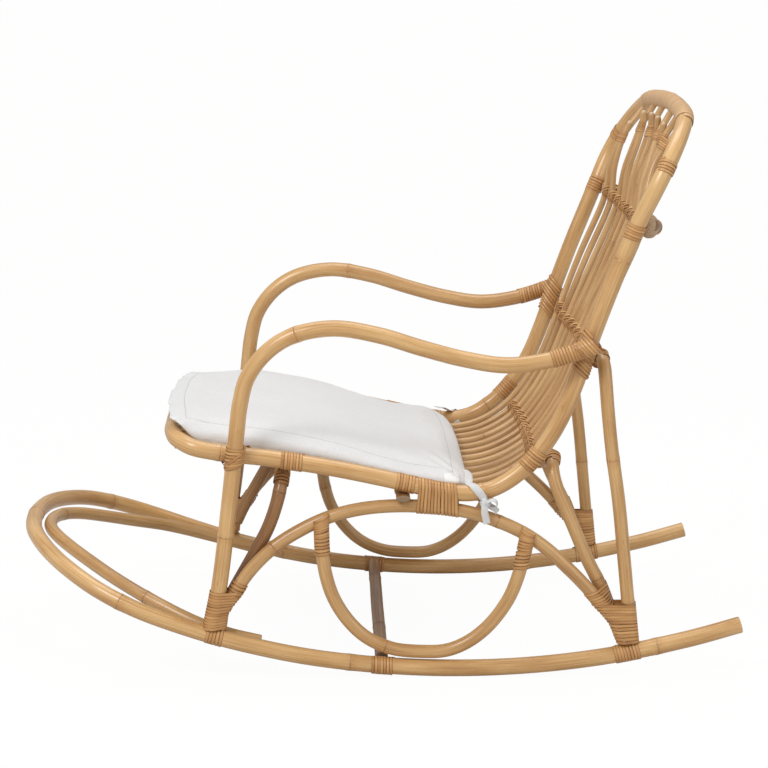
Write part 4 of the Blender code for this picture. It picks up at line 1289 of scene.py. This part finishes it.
def build_pad():
    obj = rough_pad()
    bpy.context.view_layer.objects.active = obj
    obj.select_set(True)
    remesh = obj.modifiers.new("remesh", "REMESH")
    remesh.mode = "VOXEL"
    remesh.voxel_size = 0.0050
    remesh.adaptivity = 0.0
    bpy.ops.object.modifier_apply(modifier="remesh")
    co = np.array([v.co[:] for v in obj.data.vertices])
    co = inflated(obj, co)
    # stay inside the rails and off the spindles
    half = (CUSHION_HALF + 3.0) * MM
    co[:, 1] = np.clip(co[:, 1], -half, half)
    co[:, 0] = np.clip(co[:, 0], -0.4455, 0.0145)
    for v, p in zip(obj.data.vertices, co):
        v.co = p
    smooth = obj.modifiers.new("smooth", "SMOOTH")
    smooth.factor = 0.5
    smooth.iterations = 5
    bpy.ops.object.modifier_apply(modifier="smooth")
    # faint long creases and settled hollows
    for v in obj.data.vertices:
        p = v.co
        up = max(0.0, v.normal.z)
        q = Vector((p.x * 9.0, p.y * 6.0, 0.0))
        w = noise.noise(q) * 0.0011 + noise.noise(q * 2.7 + Vector((5, 3, 1))) * 0.0005
        v.co = p + v.normal * w * (0.4 + 0.6 * up)
    for poly in obj.data.polygons:
        poly.use_smooth = True
    finer = obj.modifiers.new("sub", "SUBSURF")
    finer.levels = finer.render_levels = 1
    bpy.ops.object.modifier_apply(modifier="sub")
    obj.select_set(False)
    return obj


def on_surface(tree, point, way):
    """The surface point met from outside along way, and its normal (mm)."""
    origin = Vector(np.array(point) * MM)
    way = Vector(way).normalized()
    hit = tree.ray_cast(origin - way * 0.12, way, 0.3)
    if hit[0] is None:
        hit = tree.find_nearest(origin)
    return np.array(hit[0]) / MM, np.array(hit[1])


def welt(name, hits, r, sink):
    """A sewn seam: a fine rolled edge lying on the cloth."""
    c = np.array([point for point, _ in hits])
    for _ in range(3):
        c = 0.5 * c + 0.25 * (np.roll(c, 1, 0) + np.roll(c, -1, 0))
    t = np.roll(c, -1, 0) - np.roll(c, 1, 0)
    t /= np.linalg.norm(t, axis=1)[:, None]
    up = squared(np.array([normal for _, normal in hits]), t)
    sides = 8
    a = 2 * np.pi * np.arange(sides) / sides
    verts = sweep(c, np.cross(t, up), up, np.sin(a) * r, np.cos(a) * r - sink)
    return face_outward(new_mesh(name, verts, ring_faces(len(c), sides, closed=True)))


def build_seams(tree):
    """The upper seam is set in on the top; the lower one runs round the side."""
    hits = [on_surface(tree, (x, y, cushion_top(x, y)), (0, 0, -1.0))
            for x, y in outline(420, inset=27.0)]
    dress(welt("cushion_seam_top", hits, r=0.8, sink=0.45), SEAM_WITH_PAINTED_SHADE, "cushion")
    hits = []
    for x, y in outline(420):
        low = cushion_under(within_cushion(x), y)
        z = low + (cushion_top(x, y) - low) * 0.24
        hits.append(on_surface(tree, (x, y, z), (CUSHION_MID - x, -y, 0.0)))
    dress(welt("cushion_seam_bottom", hits, r=1.2, sink=0.45), HEM, "cushion")


def build_label(tree):
    """Blank label on the left side near the rear corner."""
    nx, nz = 9, 6
    count = nx * nz
    verts = []
    for thickness in (0.0, 0.55):
        for i in range(nx):
            for j in range(nz):
                x = -27.0 + 24.0 * i / (nx - 1)
                z = cushion_under(x) + 6.5 + 12.5 * j / (nz - 1)
                q, _ = on_surface(tree, (x, -260.0, z), (0, 1, 0))
                lift = 0.5 + thickness + 0.35 * math.sin(i * 0.9) * (j / (nz - 1))
                verts.append((x, q[1] - lift, z))
    faces = []
    for i in range(nx - 1):
        for j in range(nz - 1):
            a = i * nz + j
            faces.append((a, a + 1, a + nz + 1, a + nz))
            b = count + a
            faces.append((b, b + nz, b + nz + 1, b + 1))
    rim = [i * nz for i in range(nx)]
    rim += [(nx - 1) * nz + j for j in range(1, nz)]
    rim += [i * nz + nz - 1 for i in range(nx - 2, -1, -1)]
    rim += list(range(nz - 2, 0, -1))
    for a, b in zip(rim, rim[1:] + rim[:1]):
        faces.append((a, b, count + b, count + a))
    obj = face_outward(new_mesh("label_blank", verts, faces))
    dress(obj, LABEL, "cushion", ("cushion_label",))


def build_cushion():
    pad = build_pad()
    tree = BVHTree.FromObject(pad, bpy.context.evaluated_depsgraph_get())
    dress(pad, CANVAS, "cushion", ("seat_cushion",))
    build_seams(tree)
    build_label(tree)


# ------------------------------------------------------------------ ties
# section of a tape: across (of the width), height (of the thickness), share of the fold
TAPE_SECTION = np.array([
    (-0.5, 0.0, 0), (-0.46, 0.5, 0), (-0.2, 0.5, 0.5), (0.0, 0.5, 1), (0.2, 0.5, 0.5),
    (0.46, 0.5, 0), (0.5, 0.0, 0), (0.46, -0.5, 0), (0.2, -0.5, 0.5), (0.0, -0.5, 1),
    (-0.2, -0.5, 0.5), (-0.46, -0.5, 0)])
# free parts of a right tie: (offset from the knot, outward normal)
TIE_LOOP = [
    ((2, 2, 1), (-0.3, 0.5, 0.8)), ((6, 5, 5), (-0.3, 0.3, 0.9)), ((12, 6, 6), (0.3, 0.3, 0.9)),
    ((16.5, 5, 1.5), (0.95, 0.2, 0.1)), ((15, 3, -5), (0.5, 0.2, -0.8)),
    ((9, 2, -6.5), (0.0, 0.2, -1.0)), ((2, 1, -3), (-0.4, 0.2, -0.9))]
LONG_TAIL = [(offset, (0.15, 1, 0.1)) for offset in (
    (-1, 5, -1), (-1.5, 7, -8), (-1, 7.5, -15), (0.5, 6.8, -22), (2, 6.5, -29))]
SHORT_TAIL = [(offset, (0.5, 0.8, 0.2)) for offset in (
    (4, 0, -2), (9, -1, -6), (14, -2, -9), (18, -2, -14))]


def tape(name, path, normals, width, thick, fold=0.0):
    """Flat woven tape along a path, raised along its middle by the fold."""
    path_d = arc(np.array(path, float))
    p = spline(path, max(20, int(path_d[-1] / 1.5)))
    d = arc(p)
    t = tangents(p)
    up = squared(lerp_rows(d / d[-1] * path_d[-1], path_d, np.array(normals, float)), t)
    across, height, folded = TAPE_SECTION.T
    verts = sweep(p, np.cross(t, up), up, across * width, (height + folded * fold) * thick)
    return face_outward(new_mesh(name, verts, ring_faces(len(p), len(across)), sharp=60))


def build_tie(tag, side, corner, beyond):
    """A tie from the cushion's rear corner, knotted round the seat rail."""
    mirror = np.array((1.0, side, 1.0))
    i = nearest("seat_back_hoop", (21, side * Y_RAIL, 277))
    rail, t = CURVES["seat_back_hoop"].line[i], CURVES["seat_back_hoop"].tangent[i]
    if t[0] < 0:
        t = -t
    up = np.array((-t[2], 0.0, t[0]))
    out = np.array((0.0, side, 0.0))

    def away(degrees):
        a = math.radians(degrees)
        return out * math.cos(a) + up * math.sin(a)

    def at(degrees, radius, along):
        """Point round the rail; 0 degrees is outwards and 90 is up."""
        return rail + away(degrees) * radius + t * along

    def piece(part, path, normals, width, thick, fold=0.0):
        obj = tape("tie_%s_%s" % (part, tag), path, normals, width, thick, fold)
        dress(obj, TAPE)

    # from the sewn corner over the rail and down the outside to the knot
    path = [corner * mirror, beyond * mirror, at(105, 14.6, -11), at(60, 14.4, -6),
            at(20, 14.3, 0), at(-15, 14.4, 5), at(-45, 16.5, 8)]
    normals = [(0.5, side * 0.3, 0.8), (0.4, side * 0.5, 0.75)]
    normals += [away(a) for a in (105, 60, 20, -15, -40)]
    band = tape("tie_band_" + tag, path, normals, width=11.5, thick=1.1)
    band.data.materials.append(TAPE)
    place(band)
    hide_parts("tie_" + tag)
    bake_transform(band)

    # the second end passes under the rail from inside
    stations = [(190, 14.2, -3), (215, 14.2, 0), (250, 14.3, 3), (285, 14.6, 6), (312, 17.0, 8)]
    piece("under", [at(*s) for s in stations], [away(s[0]) for s in stations],
          width=10.5, thick=1.0)

    # knot: two crossed turns
    knot = at(-45, 20.5, 8.5)

    def turn(part, axis, out_radius, other_radius, width, thick, fold):
        axis = np.array(axis)
        other = np.cross(axis / np.linalg.norm(axis), out)
        other /= np.linalg.norm(other)
        angles = [2 * math.pi * k / 12 for k in range(13)]
        path = [knot + (out * math.cos(a) * out_radius + other * math.sin(a) * other_radius)
                for a in angles]
        normals = [out * math.cos(a) + other * math.sin(a) for a in angles]
        piece(part, path, normals, width, thick, fold)

    turn("knot_a", (0.25, 0.0, -1.0), out_radius=5.4, other_radius=6.6, width=9.5,
         thick=1.6, fold=0.5)
    turn("knot_b", (1.0, side * 0.2, 0.45), out_radius=4.2, other_radius=7.8, width=7.5,
         thick=1.5, fold=0.4)

    # loop to the rear, long tail down, short tail behind it
    for part, rows, width, thick, fold in (("loop", TIE_LOOP, 9.0, 1.0, 0.0),
                                           ("tail", LONG_TAIL, 10.5, 1.1, 0.6),
                                           ("tail_b", SHORT_TAIL, 9.5, 1.0, 0.0)):
        offsets, normals = np.array(rows, float).transpose(1, 0, 2)
        piece(part, knot + offsets * mirror, normals * mirror, width, thick, fold)


def build_ties():
    # where each tie is sewn on, and the next point of its band, with y outwards
    sewn = [((4.0, 240.0, 302.0), (9.0, 251.0, 298.0)),
            ((-15.0, 240.0, 299.0), (-4.0, 251.0, 296.0))]
    for (tag, side), (corner, beyond) in zip(SIDES, sewn):
        build_tie(tag, side, corner, beyond)


# ------------------------------------------------------------------ stage
def build_world():
    """White studio light, brighter where the camera sees it directly."""
    world = bpy.data.worlds.new("studio")
    bpy.context.scene.world = world
    world.use_nodes = True
    tree = world.node_tree
    background = tree.nodes["Background"]
    background.inputs[0].default_value = (1.0, 1.0, 1.0, 1)
    path = tree.nodes.new("ShaderNodeLightPath")
    strength = tree.nodes.new("ShaderNodeMath")
    strength.operation = "MULTIPLY_ADD"
    strength.inputs[1].default_value = 0.40      # added for camera rays
    strength.inputs[2].default_value = 0.62      # for all rays
    tree.links.new(path.outputs["Is Camera Ray"], strength.inputs[0])
    tree.links.new(strength.outputs[0], background.inputs[1])


def floor_material():
    """Grey to the light, nearly pure white to the camera."""
    m = Shader("floor_white")
    m.finish(Base_Color=(0.62, 0.60, 0.58), Roughness=0.8)
    glow = m.node("Emission", {0: (0.99, 0.99, 0.99), 1: 1.035})
    seen = m.node("LightPath", {}).outputs["Is Camera Ray"]
    mixed = m.node("MixShader", {0: m.times(seen, 0.94), 1: m.surface.outputs[0],
                                 2: glow.outputs[0]})
    m.feed(m.tree.nodes["Material Output"].inputs[0], mixed.outputs[0])
    return m.material


def build_floor():
    """Floor curving up into a backdrop at +y."""
    half, start, r = 14000.0, 3000.0, 2000.0
    profile = [(-6000.0, 0.0), (start, 0.0)]
    profile += [(start + r * math.sin(a), r - r * math.cos(a))
                for a in np.linspace(0.12, math.pi / 2, 12)]
    profile.append((start + r, 8000.0))
    verts = [(x, y, z - 0.4) for y, z in profile for x in (-half, half)]
    faces = [(2 * i, 2 * i + 1, 2 * i + 3, 2 * i + 2) for i in range(len(profile) - 1)]
    floor = new_mesh("floor", verts, faces)
    floor.data.materials.append(floor_material())


def area_light(name, location, target, size, power):
    light = bpy.data.lights.new(name, "AREA")
    light.shape = "RECTANGLE"
    light.size, light.size_y = size
    light.energy = power
    obj = bpy.data.objects.new(name, light)
    obj.location = location
    way = Vector(target) - Vector(location)
    obj.rotation_euler = way.to_track_quat("-Z", "Y").to_euler()
    bpy.context.scene.collection.objects.link(obj)


def build_camera():
    """Looks at the chair's left side from a little above."""
    camera = bpy.data.cameras.new("camera")
    camera.sensor_width = 36.0
    camera.lens = 112.5
    camera.clip_end = 60.0
    obj = bpy.data.objects.new("camera", camera)
    yaw, pitch = math.radians(1.50), math.radians(10.88)
    way = Vector((math.sin(yaw) * math.cos(pitch), math.cos(yaw) * math.cos(pitch),
                  -math.sin(pitch)))
    obj.location = (SHIFT - 0.205, -3.681, 1.0925)
    obj.rotation_euler = way.to_track_quat("-Z", "Y").to_euler()
    bpy.context.scene.collection.objects.link(obj)
    bpy.context.scene.camera = obj


def build_stage():
    build_world()
    build_floor()
    area_light("key", (-1.7, -2.3, 3.0), target=(0, 0, 0.35), size=(1.3, 1.0), power=56)
    area_light("fill", (2.6, -2.6, 1.8), target=(0, 0, 0.4), size=(2.0, 1.6), power=17)
    area_light("top", (0.2, 0.6, 3.4), target=(0, 0, 0.3), size=(2.2, 1.4), power=34)
    build_camera()
    bpy.context.scene.view_settings.view_transform = "Standard"


build_poles()
build_lashings()
build_head_wrap()
build_spindle_crosses()
build_bar_ends()
build_pair_bands()
build_cushion()
build_ties()
build_stage()

bpy.context.view_layer.update()
